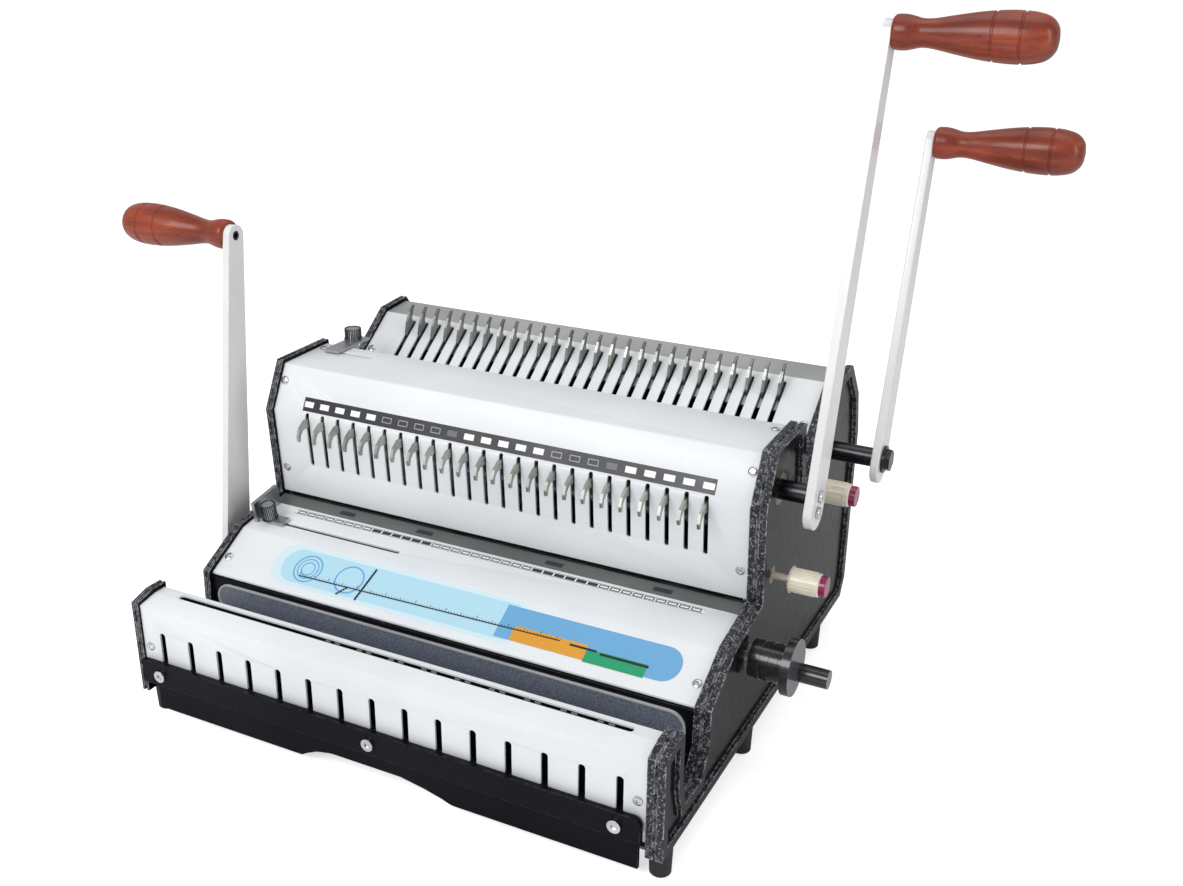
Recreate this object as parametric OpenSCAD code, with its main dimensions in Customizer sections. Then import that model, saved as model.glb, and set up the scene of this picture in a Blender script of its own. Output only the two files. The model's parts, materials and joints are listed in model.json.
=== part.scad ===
// Manual comb and wire binding machine: comb punch and comb opener at the front
// of the tower, a second punch and finger carriage behind it, and a wire closer
// at the front edge. X runs along the machine, the user stands on the -Y side.

/* [Overall] */
// Width of the painted panels between the two side covers
panel_w = 391.5; // [384:0.5:470]
// Thickness of the right side cover
cover_t = 12; // [11:0.5:16]
// Thickness of the left side cover
left_cover_t = 6; // [5:0.5:12]
// Height of the tower's flat top
tower_h = 218; // [216:1:262]
// How far the rear unit's top stands above the tower's top
rear_rise = 8; // [5:1:14]
// Height of the slit where paper goes under the tower
throat_h = 112; // [108:1:114]
// Distance from the paper slit to the machine's front face
front_reach = 162; // [158:1:180]
// Distance from the paper slit to the back face
back_reach = 214; // [206:1:257]
// Height of the wire closer at the front
closer_h = 92; // [90:1:96]
// Height of the rubber feet
foot_h = 20; // [18:0.5:20]
// Diameter of the rubber feet
foot_d = 15; // [12:0.5:15]
// Thickness of the painted sheet panels
sheet_t = 1.6; // [1.2:0.1:2]
// Thickness of the inner side plates
plate_t = 4; // [3:0.5:5]

/* [Punching] */
// Pitch of the comb holes
comb_pitch = 14.2875; // [14:0.0125:14.2875]
// Number of comb hooks and slots
comb_count = 24; // [20:1:24]
// Width of a comb slot
comb_slot_w = 3.4; // [2.8:0.1:4.1]
// Length of a comb slot
comb_slot_len = 44; // [42:1:46]
// Pitch of the rear holes
rear_pitch = 12.7; // [12:0.1:12.7]
// Number of rear fingers and slots
rear_count = 27; // [20:1:27]
// Width of a rear slot
rear_slot_w = 4.2; // [3.5:0.1:5]
// Thickness of the hooks and fingers
hook_t = 2; // [1.5:0.1:2.2]
// Length of a comb punch pin's hole along the row
comb_hole = 7.9; // [7:0.1:8.5]
// Length of a rear punch pin's hole along the row
rear_hole = 4; // [3:0.1:5]
// Diameter of the posts that guide the punch beams
post_d = 10; // [8:0.1:12]

/* [Levers] */
// Diameter of both punch shafts
shaft_d = 14; // [11.5:0.1:15]
// Diameter of the closer's shaft
closer_shaft_d = 12; // [10:0.1:14]
// Radial running clearance of a shaft in its bush
run_clear = 0.05; // [0.03:0.01:0.08]
// Length of the front lever from pivot to grip
front_lever_len = 300; // [250:1:340]
// Length of the rear lever from pivot to grip
rear_lever_len = 227; // [189:1:240]
// Length of the closer's lever from pivot to grip
left_lever_len = 266; // [230:1:300]
// Width of a lever at its pivot
lever_w = 28; // [24:0.5:32]
// Width of a lever at its grip
lever_tip_w = 16; // [13:0.5:20]
// Thickness of a lever
lever_t = 6; // [5:0.5:8]
// Gap between the right cover and the front lever
front_gap = 18; // [14:0.5:22]
// Gap between the right cover and the rear lever
rear_gap = 34; // [30:0.5:40]
// Gap between the left cover and the closer's lever
left_gap = 13; // [8:0.5:18]
// Lean of the two right levers
lever_lean = 16; // [10:1:20]
// Lean of the closer's lever
left_lean = 7; // [4:1:12]
// Length of a wooden grip
grip_len = 100; // [90:1:115]
// Largest radius of a wooden grip
grip_r = 16; // [14:0.5:18]

/* [Wire closer] */
// Pitch of the closer's slots
closer_pitch = 25.4; // [24:0.1:25.4]
// Number of slots in the closer's cover
closer_count = 15; // [11:1:15]
// Width of a closer slot
closer_slot_w = 5; // [4.5:0.1:6]
// Lift of the closing bar
closer_lift = 14; // [12:0.5:14]

/* [Controls] */
// Diameter of the size knob's disc
knob_d = 39; // [34:0.5:44]
// Diameter of the margin dials
dial_d = 16.5; // [14:0.5:18]

/* [Hidden] */
$fn = 64;
e = 0.01;
hw = panel_w / 2;
ox = hw + cover_t;
left_out = hw + left_cover_t;
px = hw - plate_t;
post_x = px - 12;
lobe_x = 120;
slide_x = 5.5 * closer_pitch;
wire_x = [-hw + 20, hw - 18];
wire_y = [16 - front_reach, 21.4 - front_reach];
deck_slot = [-hw + 20, -hw + 134];
tower_slot = [-hw + 16, -hw + 54];

// profile lines, given as [Y, Z]
lean = 3.6;
face_len = tower_h - 34 - throat_h;
bend = [-face_len * sin(lean), throat_h + face_len * cos(lean)];
top_a = [bend[0] + 17, tower_h - 1.2];
top_b = [66, tower_h];
fold_y = 151;
rear_h = tower_h + rear_rise;
fold_z = rear_h - 3;
slope = 36.5;
slope_len = 84;
slope_low = [fold_y - slope_len * cos(slope), fold_z - slope_len * sin(slope)];
tower_back = [72, slope_low[1] - 1];
ridge = [180, rear_h];
deck_front = [-88.5, throat_h - 30.5];
deck_fold = [-51.5, throat_h - 9.3];
deck_back = [-1, throat_h - 0.3];
deck_slope = atan2(deck_fold[1] - deck_front[1], deck_fold[0] - deck_front[0]);
flat_slope = atan2(deck_back[1] - deck_fold[1], deck_back[0] - deck_fold[0]);
upper_slope = atan2(top_a[0] - bend[0], top_a[1] - bend[1]);
top_slope = atan2(top_b[1] - top_a[1], top_b[0] - top_a[0]);
cy = -front_reach;

// pivots
front_shaft = [28, throat_h + 75];
rear_shaft = [133, fold_z - 45];
closer_pivot = [-40, 55];
knob_axis = [-20, throat_h - 28];
front_dial_axis = [22, throat_h + 13];
rear_dial_axis = [81, fold_z - 55];
lobe_off = 10;
lobe_r = 9;
front_in = ox + front_gap;
rear_in = ox + rear_gap;
left_in = left_out + left_gap;
frame_x = (rear_in - left_in) / 2;
front_end = cy - 8.2;
frame_y = (front_end + back_reach + 0.5) / 2;

function unit(v) = v / norm(v);
function nrm(a, b) = let (u = unit(b - a)) [-u[1], u[0]];
function mit(a, b) = let (m = a + b) m * 2 / (m * m);
function offp(p, i, d) = let (n = len(p)) i == 0 ? p[0] + d * nrm(p[0], p[1])
 : i == n - 1 ? p[n - 1] + d * nrm(p[n - 2], p[n - 1])
 : p[i] + d * mit(nrm(p[i - 1], p[i]), nrm(p[i], p[i + 1]));
function strip(p, d) = concat(p, [for (i = [len(p) - 1:-1:0]) offp(p, i, d)]);
function inset(p, d) = [for (i = [0:len(p) - 1]) let (n = len(p), q = p[(i + n - 1) % n],
 r = p[(i + 1) % n]) p[i] + d * mit(nrm(q, p[i]), nrm(p[i], r))];

module shift() translate([-frame_x, -frame_y, 0]) children();
module prism(x0, x1, pts) translate([x0, 0, 0]) rotate([90, 0,
  90]) linear_extrude(height = x1 - x0) polygon(pts);
module rod(x0, x1, at, d) translate([x0, at[0], at[1]]) rotate([0, 90, 0]) cylinder(h = x1 - x0, d = d);
module box(x0, x1, y0, y1, z0, z1) translate([x0, y0, z0]) cube([x1 - x0, y1 - y0, z1 - z0]);
module on_face() translate([0, 0, throat_h]) rotate([lean, 0, 0]) children();
module on_upper() translate([0, bend[0], bend[1]]) rotate([-upper_slope, 0, 0]) children();
module on_top() translate([0, top_b[0], top_b[1]]) rotate([top_slope, 0, 0]) children();
module on_rear() translate([0, fold_y, fold_z]) rotate([slope - 90, 0, 0]) children();
module on_deck() translate([0, deck_fold[0], deck_fold[1]]) rotate([flat_slope, 0, 0]) children();
module on_slope() translate([0, deck_front[0], deck_front[1]]) rotate([deck_slope, 0, 0]) children();
module row(count, pitch) for (i = [0:count - 1]) translate([(i - (count - 1) / 2) * pitch, 0,
  0]) children();

cover_profile = [[cy - 2, foot_h], [back_reach - 9, foot_h], [back_reach, foot_h + 14],
 [back_reach + 0.5, fold_z - 58], [back_reach - 9, fold_z - 23], [ridge[0] + 1, rear_h + 3],
   [fold_y - 1, fold_z + 3.5],
 [slope_low[0] + 1.5, slope_low[1] + 3.5], [tower_back[0] + 3, slope_low[1] + 3.5],
   [top_b[0] + 2, tower_h + 3],
 [top_a[0] - 2, tower_h + 2], [bend[0] - 3, bend[1] + 0.5], [-3, throat_h + 2],
 [deck_fold[0] - 1, deck_fold[1] + 3], [deck_front[0] - 4, deck_front[1] + 2], [deck_front[0] - 5, 57],
 [deck_front[0] - 16, 40], [cy + 32, 40], [cy + 26.5, 58], [cy + 26.5, closer_h + 3.5],
 [cy + 13, closer_h + 3.5], [cy - 2, closer_h - 1]];

groove_w = 1.4;
function recess(t) = t / 4;
// a cover of thickness t: a groove runs round the middle of its edge
module cover_shell(t) let (g = hw + (t - groove_w) / 2) difference() {
 union() {
  prism(hw, g, cover_profile);
  prism(g - e, g + groove_w + e, inset(cover_profile, 1));
  prism(g + groove_w, hw + t, cover_profile);
 }
 prism(hw + t - recess(t), hw + t + 1, inset(cover_profile, 7));
}

// --- root: covers and frame ---
module side_cover_left() color([0.09, 0.09, 0.1]) shift() difference() {
 mirror([1, 0, 0]) cover_shell(left_cover_t);
 rod(-left_out - 1, -hw + 1, closer_pivot, closer_shaft_d + 8);
}
module side_cover_right() color([0.09, 0.09, 0.1]) shift() difference() {
 cover_shell(cover_t);
 rod(hw - 1, ox + 1, front_shaft, shaft_d + 8);
 rod(hw - 1, ox + 1, rear_shaft, shaft_d + 8);
 rod(hw - 1, ox + 1, knob_axis, 16);
 rod(hw - 1, ox + 1, front_dial_axis, 12);
 rod(hw - 1, ox + 1, rear_dial_axis, 12);
}
module plate_body() difference() {
 prism(px, hw, inset(cover_profile, 6));
 box(px - 1, hw + 1, deck_front[0] - 20, deck_front[0] + 0.9, 42.4, 62);
 rod(px - 1, hw + 1, front_shaft, shaft_d + 8);
 rod(px - 1, hw + 1, rear_shaft, shaft_d + 8);
 rod(px - 1, hw + 1, knob_axis, 16);
 rod(px - 1, hw + 1, front_dial_axis, 12);
 rod(px - 1, hw + 1, rear_dial_axis, 12);
 rod(px - 1, hw + 1, closer_pivot, closer_shaft_d + 8);
}
module frame_plate_left() color([0.62, 0.63, 0.65]) shift() mirror([1, 0, 0]) plate_body();
module frame_plate_right() color([0.62, 0.63, 0.65]) shift() plate_body();
module tie_rods() color([0.6, 0.6, 0.62]) shift() {
 rod(-px, px, [cy + 14, closer_h - 16.5], 5);
 rod(-px, px, [-70, 62], 10);
 rod(-px, px, [52, 60], 10);
 rod(-px, px, [150, 60], 10);
 rod(-px, px, [190, fold_z - 38], 10);
}
module feet() color([0.06, 0.06, 0.06]) shift()
 for (x = foot_x, y = foot_y) translate([x, y, 0]) rotate_extrude()
  polygon([[0, 0], [foot_d / 2 - 1.6, 0], [foot_d / 2 - 0.6, 1.2], [foot_d / 2, foot_h], [0, foot_h]]);

closer_line = [[cy, 37], [cy, closer_h - 3], [cy + 15, closer_h], [cy + 25, closer_h], [cy + 25, 62]];
module closer_cover() color([0.93, 0.94, 0.94]) shift() difference() {
 prism(-hw, hw, strip(closer_line, -sheet_t));
 row(closer_count, closer_pitch) box(-closer_slot_w / 2, closer_slot_w / 2, cy - 1, cy + sheet_t + 1,
   39.5, closer_h - 21);
 box(wire_x[0], wire_x[1], wire_y[0], wire_y[1], closer_h - 4, closer_h + 2);
}
module wire_channel() color([0.05, 0.05, 0.05]) shift() difference() {
 box(wire_x[0] - 3, wire_x[1] + 3, wire_y[0] - 0.7, wire_y[1] + 0.8, closer_h - 13, closer_h - sheet_t);
 box(wire_x[0], wire_x[1], wire_y[0], wire_y[1], closer_h - 11, closer_h + 1);
}
module front_panel() color([0.07, 0.07, 0.08]) shift()
 prism(-hw, hw, strip([[cy + 28, 60], [cy + 28, 43], [deck_front[0] + 0.3, 43],
   [deck_front[0] + 0.3, deck_front[1] - 2.4]], sheet_t));
pad_w = 23;
pad_x = hw - 17;
module front_pad() color([0.4, 0.42, 0.43]) shift()
  translate([0, deck_front[0] - 1.3, 64]) rotate([90, 0, 0])
 linear_extrude(height = 2) union() {
  square([2 * pad_x, pad_w], center = true);
  for (s = [-1, 1]) translate([s * pad_x, 0]) circle(d = pad_w);
 }
module deck_panel() color([0.93, 0.94, 0.94]) shift() difference() {
 prism(-hw, hw, strip([[deck_front[0], deck_front[1] - 2], deck_front, deck_fold,
   deck_fold + 38.2 * [cos(flat_slope), sin(flat_slope)]], -sheet_t));
 on_deck() box(deck_slot[0], deck_slot[1], 13.8, 16.8, -3, 1);
}
module throat_plate() color([0.3, 0.31, 0.32]) shift() on_deck() box(-hw, hw, 38.4, 51.4, -2.6, -0.2);
tower_line = [[-0.1, throat_h + 2], bend, top_a, top_b, tower_back];
module comb_tower_cover() color([0.93, 0.94, 0.94]) shift() difference() {
 prism(-hw, hw, strip(tower_line, -sheet_t));
 on_face() row(comb_count, comb_pitch) box(-comb_slot_w / 2, comb_slot_w / 2, -2, 4, 30,
   30 + comb_slot_len);
 box(tower_slot[0], tower_slot[1], 49.5, 52.5, tower_h - 4, tower_h + 2);
}
module rear_tower_cover() color([0.93, 0.94, 0.94]) shift() difference() {
 on_rear() prism(-hw, hw, [[0, -slope_len], [sheet_t, -slope_len], [sheet_t, -1.5], [0, -0.2]]);
 on_rear() row(rear_count, rear_pitch) box(-rear_slot_w / 2, rear_slot_w / 2, -1, 3, -52, -5);
}
module rear_top_plate() color([0.6, 0.61, 0.6]) shift()
 prism(-hw, hw, strip([[fold_y, fold_z], [ridge[0], ridge[1] - 0.6]], -sheet_t));
module rear_cover() color([0.07, 0.07, 0.08]) shift()
 prism(-hw, hw, strip([[ridge[0] + 1.9, rear_h - 2.6], [back_reach - 12, fold_z - 24],
   [back_reach - 3, fold_z - 58], [back_reach - 3.5, foot_h + 16],
   [back_reach - 12, foot_h + 2]], -sheet_t));
module comb_die() color([0.5, 0.51, 0.53]) shift() difference() {
 box(-px, px, 1.5, 42, throat_h - 13, throat_h - 1);
 row(comb_count, comb_pitch) box(-comb_hole / 2 - 0.4, comb_hole / 2 + 0.4, 14.2, 17.8, throat_h - 15,
   throat_h + 1);
}
module comb_stripper() color([0.5, 0.51, 0.53]) shift() difference() {
 box(-px, px, 4, 42, throat_h + 2, throat_h + 10);
 row(comb_count, comb_pitch) box(-comb_hole / 2 - 0.4, comb_hole / 2 + 0.4, 14.2, 17.8, throat_h,
   throat_h + 12);
 for (s = [-1, 1]) translate([s * post_x, 28, throat_h]) cylinder(h = 12, d = post_d);
}
module comb_guide_posts() color([0.7, 0.7, 0.72]) shift()
 for (s = [-1, 1]) translate([s * post_x, 28, throat_h + 2]) cylinder(h = 64, d = post_d);
module rear_die() color([0.5, 0.51, 0.53]) shift() difference() {
 box(-px, px, 73, 80, fold_z - 98, fold_z - 54);
 row(rear_count, rear_pitch) box(-rear_hole / 2 - 0.4, rear_hole / 2 + 0.4, 70, 83, fold_z - 80.4,
   fold_z - 75.6);
}
module rear_stripper() color([0.5, 0.51, 0.53]) shift() difference() {
 box(-px, px, 84, 94, fold_z - 98, fold_z - 54);
 row(rear_count, rear_pitch) box(-rear_hole / 2 - 0.4, rear_hole / 2 + 0.4, 82, 96, fold_z - 80.4,
   fold_z - 75.6);
 for (s = [-1, 1]) translate([s * post_x, 90, fold_z - 63]) rotate([-90, 0, 0]) cylinder(h = 6,
   d = post_d);
}
module rear_guide_posts() color([0.7, 0.7, 0.72]) shift()
 for (s = [-1, 1]) translate([s * post_x, 90, fold_z - 63]) rotate([-90, 0, 0]) cylinder(h = 38,
   d = post_d);
module bush(x0, x1, at, d, od) difference() {
 rod(x0, x1, at, od);
 rod(x0 - 1, x1 + 1, at, d + 2 * run_clear);
}
module shaft_bushes() color([0.72, 0.58, 0.3]) shift() {
 bush(px, ox - recess(cover_t), front_shaft, shaft_d, shaft_d + 8);
 bush(-hw, -px, front_shaft, shaft_d, shaft_d + 8);
 bush(px, ox - recess(cover_t), rear_shaft, shaft_d, shaft_d + 8);
 bush(-hw, -px, rear_shaft, shaft_d, shaft_d + 8);
 bush(-left_out + recess(left_cover_t), -px, closer_pivot, closer_shaft_d, closer_shaft_d + 8);
 bush(px, hw, closer_pivot, closer_shaft_d, closer_shaft_d + 8);
 bush(px, ox - recess(cover_t), knob_axis, 9, 16);
 bush(px, ox - recess(cover_t), front_dial_axis, 5, 12);
 bush(hw, ox - recess(cover_t), rear_dial_axis, 5, 12);
}
foot_y = [cy + 13, -8, 150];
foot_x = [foot_d / 2 - left_out, ox - foot_d / 2];
module drawer_runners() color([0.5, 0.5, 0.52]) shift() difference() {
 for (s = [0, 1]) mirror([s, 0, 0])
  prism_y(-150, 150, [[px - 20, 13], [px, 13], [px, 34], [px - 2, 34], [px - 2, 15], [px - 20, 15]]);
 for (x = foot_x, y = foot_y) translate([x, y, 0]) cylinder(h = foot_h + 1, d = foot_d + 1.6);
}
module prism_y(y0, y1, pts) translate([0, y1, 0]) rotate([90, 0,
  0]) linear_extrude(height = y1 - y0) polygon(pts);
module screw_head() {
 cylinder(h = 1, d = 6.4);
 translate([0, 0, 1 - e]) cylinder(h = 0.6, d = 4.6);
}
module out_face(x, z) translate([x, 0, z]) rotate([90, 0, 0]) screw_head();
module cover_screws() color([0.75, 0.75, 0.77]) shift() for (s = [-1, 1]) {
 on_face() out_face(s * (hw - 6), 24);
 on_upper() out_face(s * (hw - 4), 24);
 on_slope() translate([s * (hw - 5), 15.4, 0]) screw_head();
 on_top() translate([s * (hw - 6), -12, 0]) screw_head();
 on_rear() out_face(s * (hw - 5), -40);
 translate([s * (hw - 6), cy, 58]) rotate([90, 0, 0]) screw_head();
}
comb_row = comb_count * comb_pitch / 2 - 2;
module comb_size_strip() color([0.05, 0.05, 0.06]) shift()
  on_upper() box(-comb_row, comb_row, -0.4, 0, 3.6, 14.4);
module hole_pattern_strip() color([0.35, 0.36, 0.37]) shift()
  on_deck() box(-hw + 19, hw - 24, 30, 35, 0, 0.3);
module gauge_label() color([0.5, 0.75, 0.88]) shift() on_slope() linear_extrude(height = 0.3) union() {
 translate([-140, 8]) square([304, 30]);
 translate([164, 23]) circle(d = 30);
}

// --- front punch ---
module bar2d(len, w0, w1, tail) union() {
 polygon([[-w0 / 2, -tail], [w0 / 2, -tail], [w1 / 2, len], [-w1 / 2, len]]);
 translate([0, -tail]) circle(d = w0);
 translate([0, len]) circle(d = w1);
}
// lever blank: extrude runs along +X, tilted back by a lean angle
module lever_bar(x0, at, len, a, tail, hole) translate([x0, at[0], at[1]]) rotate([-a, 0,
  0]) rotate([90, 0, 90])
 linear_extrude(height = lever_t) difference() {
  bar2d(len, lever_w, lever_tip_w, tail);
  translate([0, len]) circle(d = 7);
  for (h = hole) translate([0, h]) circle(d = 5.4);
 }
module grip(x0, at, len, a, dir) translate([x0, at[0], at[1]]) rotate([-a, 0, 0]) translate([0, 0,
  len]) rotate([0, 90 * dir, 0])
 rotate_extrude() polygon([[3.5, 0], [grip_r * 0.6, 0], [grip_r * 0.69, 4], [grip_r * 0.69, 8],
   [grip_r * 0.63, 13], [grip_r * 0.56, 18],
  [grip_r * 0.58, 25], [grip_r * 0.73, 38], [grip_r * 0.88, 52], [grip_r * 0.97, 65], [grip_r, 76],
    [grip_r * 0.95, 86],
  [grip_r * 0.8, 94], [grip_r * 0.5, 98.6], [0, grip_len], [0, 40], [3.5, 40]]);
module grip_bolt(x0, at, len, a, dir) translate([x0, at[0], at[1]]) rotate([-a, 0, 0]) translate([0, 0,
  len])
 rotate([0, 90 * dir, 0]) translate([0, 0, -lever_t + 0.6]) difference() {
  cylinder(h = lever_t + 36, d = 6.9);
  translate([0, 0, -1]) cylinder(h = 3.6, d = 3.6, $fn = 6);
 }
module front_lever_bar() color([0.93, 0.94, 0.94]) shift()
  lever_bar(front_in, front_shaft, front_lever_len, lever_lean, 9, [0, -11]);
module front_lever_grip() color([0.5, 0.17, 0.1]) shift()
  grip(front_in + lever_t, front_shaft, front_lever_len, lever_lean, 1);
module front_grip_bolt() color([0.2, 0.2, 0.2]) shift()
  grip_bolt(front_in + lever_t, front_shaft, front_lever_len, lever_lean, 1);
module front_lever_screws() color([0.75, 0.75, 0.77]) shift()
  translate([front_in, front_shaft[0], front_shaft[1]]) rotate([-lever_lean, 0, 0])
 for (h = [0, -11]) translate([0, 0, h]) rotate([0, 90, 0]) difference() {
  union() {
   cylinder(h = lever_t + e, d = 5.2);
   translate([0, 0, lever_t]) cylinder(h = 2.4, d = 8.5);
  }
  translate([0, 0, lever_t + 0.9]) cylinder(h = 2, d = 4.2, $fn = 6);
 }
module front_punch_shaft() color([0.16, 0.16, 0.17]) shift() {
 rod(-hw, front_in, front_shaft, shaft_d);
 for (s = [-1, 1]) rod(s * lobe_x - 7, s * lobe_x + 7, front_shaft - [lobe_off, 0], 2 * lobe_r);
}
beam_top = front_shaft[1] - lobe_r - 1.8;
module comb_punch_beam() color([0.45, 0.46, 0.48]) shift() difference() {
 box(-px + 3, px - 3, 12, 38, throat_h + 46, beam_top);
 for (s = [-1, 1]) translate([s * post_x, 28, throat_h + 40]) cylinder(h = 60,
   d = post_d + 2 * run_clear);
}
module comb_punch_pins() color([0.66, 0.67, 0.7]) shift() row(comb_count, comb_pitch)
 box(-comb_hole / 2, comb_hole / 2, 14.6, 17.4, throat_h + 3, throat_h + 46);
module comb_hooks() color([0.6, 0.6, 0.58]) shift() on_face() {
 box(-px + 2, px - 2, 8, 11, 52, 72);
 row(comb_count, comb_pitch) prism(-hook_t / 2, hook_t / 2, [[8 + e, 70], [-4, 70], [-11, 66],
   [-14, 60], [-13.6, 56], [-11.8, 55.6], [-10.4, 60.4], [-7, 63.4], [8 + e, 63.4]]);
}

// --- rear punch ---
module rear_lever_bar() color([0.93, 0.94, 0.94]) shift()
  lever_bar(rear_in, rear_shaft, rear_lever_len, lever_lean, 4, [0]);
module rear_lever_grip() color([0.5, 0.17, 0.1]) shift()
  grip(rear_in + lever_t, rear_shaft, rear_lever_len, lever_lean, 1);
module rear_grip_bolt() color([0.2, 0.2, 0.2]) shift()
  grip_bolt(rear_in + lever_t, rear_shaft, rear_lever_len, lever_lean, 1);
module rear_lever_nut() color([0.12, 0.12, 0.13]) shift() union() {
 rod(rear_in, rear_in + lever_t + e, rear_shaft, 5.2);
 translate([rear_in + lever_t, rear_shaft[0], rear_shaft[1]]) rotate([0, 90, 0]) cylinder(h = 6,
   d = 17, $fn = 6);
 rod(rear_in + lever_t, rear_in + lever_t + 2, rear_shaft, 20);
}
module rear_punch_shaft() color([0.16, 0.16, 0.17]) shift() {
 rod(-hw, rear_in, rear_shaft, shaft_d);
 for (s = [-1, 1]) rod(s * lobe_x - 7, s * lobe_x + 7, rear_shaft + [0, lobe_off], 2 * lobe_r);
}
module rear_punch_beam() color([0.45, 0.46, 0.48]) shift() difference() {
 box(-px + 3, px - 3, 108, rear_shaft[0] - lobe_r - 2, fold_z - 85, fold_z - 43);
 for (s = [-1, 1]) translate([s * post_x, 100, fold_z - 63]) rotate([-90, 0, 0]) cylinder(h = 30,
   d = post_d + 2 * run_clear);
}
module rear_punch_pins() color([0.66, 0.67, 0.7]) shift() row(rear_count, rear_pitch)
 box(-rear_hole / 2, rear_hole / 2, 84.6, 108, fold_z - 80, fold_z - 76);
module rear_fingers() color([0.2, 0.2, 0.2]) shift() on_rear() {
 box(-px + 2, px - 2, 3, 6, -30, -8);
 row(rear_count, rear_pitch) prism(-hook_t / 2, hook_t / 2, [[3 + e, -22], [3 + e, -8], [-5, -7],
   [-9.5, -2], [-11, 3], [-12.6, 2.4], [-12, -5], [-8.6, -13], [-3, -20]]);
}

// --- wire closer ---
module left_lever_bar() color([0.93, 0.94, 0.94]) shift()
  lever_bar(-left_in - lever_t, closer_pivot, left_lever_len, left_lean, 0, [0]);
module left_lever_grip() color([0.5, 0.17, 0.1]) shift()
  grip(-left_in - lever_t, closer_pivot, left_lever_len, left_lean, -1);
module left_grip_bolt() color([0.2, 0.2, 0.2]) shift()
  grip_bolt(-left_in - lever_t, closer_pivot, left_lever_len, left_lean, -1);
module closer_shaft() color([0.16, 0.16, 0.17]) shift() {
 rod(-left_in, hw, closer_pivot, closer_shaft_d);
 rod(-left_in - lever_t, -left_in + e, closer_pivot, 5.2);
 for (s = [-1, 1]) {
  rod(s * lobe_x - 5, s * lobe_x + 5, closer_pivot - [0, 12], 12);
  box(s * lobe_x - 5, s * lobe_x + 5, closer_pivot[0] - 5, closer_pivot[0] + 5, closer_pivot[1] - 12,
    closer_pivot[1]);
 }
}
wedge_y = cy + 16;
slider_y = closer_pivot[0] + 7.8;
module closer_slider() color([0.55, 0.55, 0.57]) shift() union() {
 for (s = [-1, 1]) prism(s * slide_x - 5, s * slide_x + 5, [[wedge_y - 12, 31.5],
   [slider_y + 2, 31.5], [slider_y + 2, 37], [wedge_y, 37], [wedge_y - 12, 37 + closer_lift]]);
 box(-slide_x - 5, slide_x + 5, slider_y, slider_y + 6, 31.5, 50);
}
module closer_carriage() color([0.12, 0.12, 0.13]) shift() union() {
 difference() {
  box(-px + 3, px - 3, cy + 6, cy + 9, 40, closer_h - 21);
  for (s = [-1, 1]) box(s * slide_x - 7, s * slide_x + 7, cy + 5, cy + 10, 39, 55);
 }
 for (s = [-1, 1]) prism(s * slide_x - 4, s * slide_x + 4, [[wedge_y + 0.8, 37.6],
   [wedge_y + 0.8, 56.5], [cy + 8, 56.5], [cy + 8, 47.6], [wedge_y, 37.6]]);
}
module closing_bar() color([0.06, 0.06, 0.07]) shift() union() {
 box(-hw + 1.5, hw - 1.5, cy - 6, cy - 2, 31, 49);
 row(closer_count, closer_pitch) box(-closer_slot_w / 2 + 0.6, closer_slot_w / 2 - 0.6, cy - 2.1,
   cy + 6, 42, 48);
}
module closing_bar_screws() color([0.8, 0.8, 0.82]) shift()
  for (x = [-hw + 18, 0, hw - 18]) translate([x, cy - 6, 40]) rotate([90, 0, 0]) difference() {
 cylinder(h = 2.2, d = 9);
 translate([0, 0, 1.2]) cylinder(h = 2, d = 4.2, $fn = 6);
}

// --- controls ---
module size_knob() color([0.07, 0.07, 0.08]) shift() union() {
 difference() {
  union() {
   rod(ox + 1, ox + 25, knob_axis, 26);
   rod(ox + 25 - e, ox + 31, knob_axis, knob_d);
  }
  rod(ox, ox + 20, knob_axis, 9.1);
 }
 rod(ox + 31 - e, ox + 51, knob_axis + [10, -9], 13);
}
module size_screw() color([0.6, 0.6, 0.62]) shift() rod(70, ox + 20, knob_axis, 9);
module gap_nut() color([0.5, 0.5, 0.52]) shift() difference() {
 box(90, 110, knob_axis[0] - 10, knob_axis[0] + 10, knob_axis[1] - 10, knob_axis[1] + 10);
 rod(89, 111, knob_axis, 9.1);
}
module dial(at) {
 rod(px, ox + 12, at, 5);
 rod(ox + 10, ox + 31, at, dial_d);
 rod(ox + 31 - e, ox + 36, at, dial_d - 2);
}
module front_dial() color([0.9, 0.87, 0.78]) shift() dial(front_dial_axis);
module rear_dial() color([0.9, 0.87, 0.78]) shift() dial(rear_dial_axis);
module edge_guide() color([0.55, 0.55, 0.56]) shift() on_deck() translate([deck_slot[0], 0, 0]) union() {
 box(-16, -13, 9, 38, 0.6, 17);
 box(-14, 10, 11, 20, 0.6, 3);
 box(3, 7, 14.3, 16.3, -7, 1);
 box(0, 10, 10, 20, -7, -4);
 translate([-5, 15.3, 2.9]) cylinder(h = 12, d = 11);
}
module rear_edge_guide() color([0.5, 0.5, 0.5]) shift() translate([tower_slot[0], 0, tower_h]) union() {
 box(-4, 10, 46, 88, 0.6, 2.6);
 translate([-1, 81, 0.6]) cylinder(h = 2, d = 15);
 box(2, 6, 50, 52, -8, 1);
 box(0, 8, 46, 56, -8, -5);
 translate([-1, 81, 2.5]) cylinder(h = 8, d = 13);
 translate([-1, 81, -6]) cylinder(h = 6.7, d = 9);
}
drawer_w = px - 14;
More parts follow.
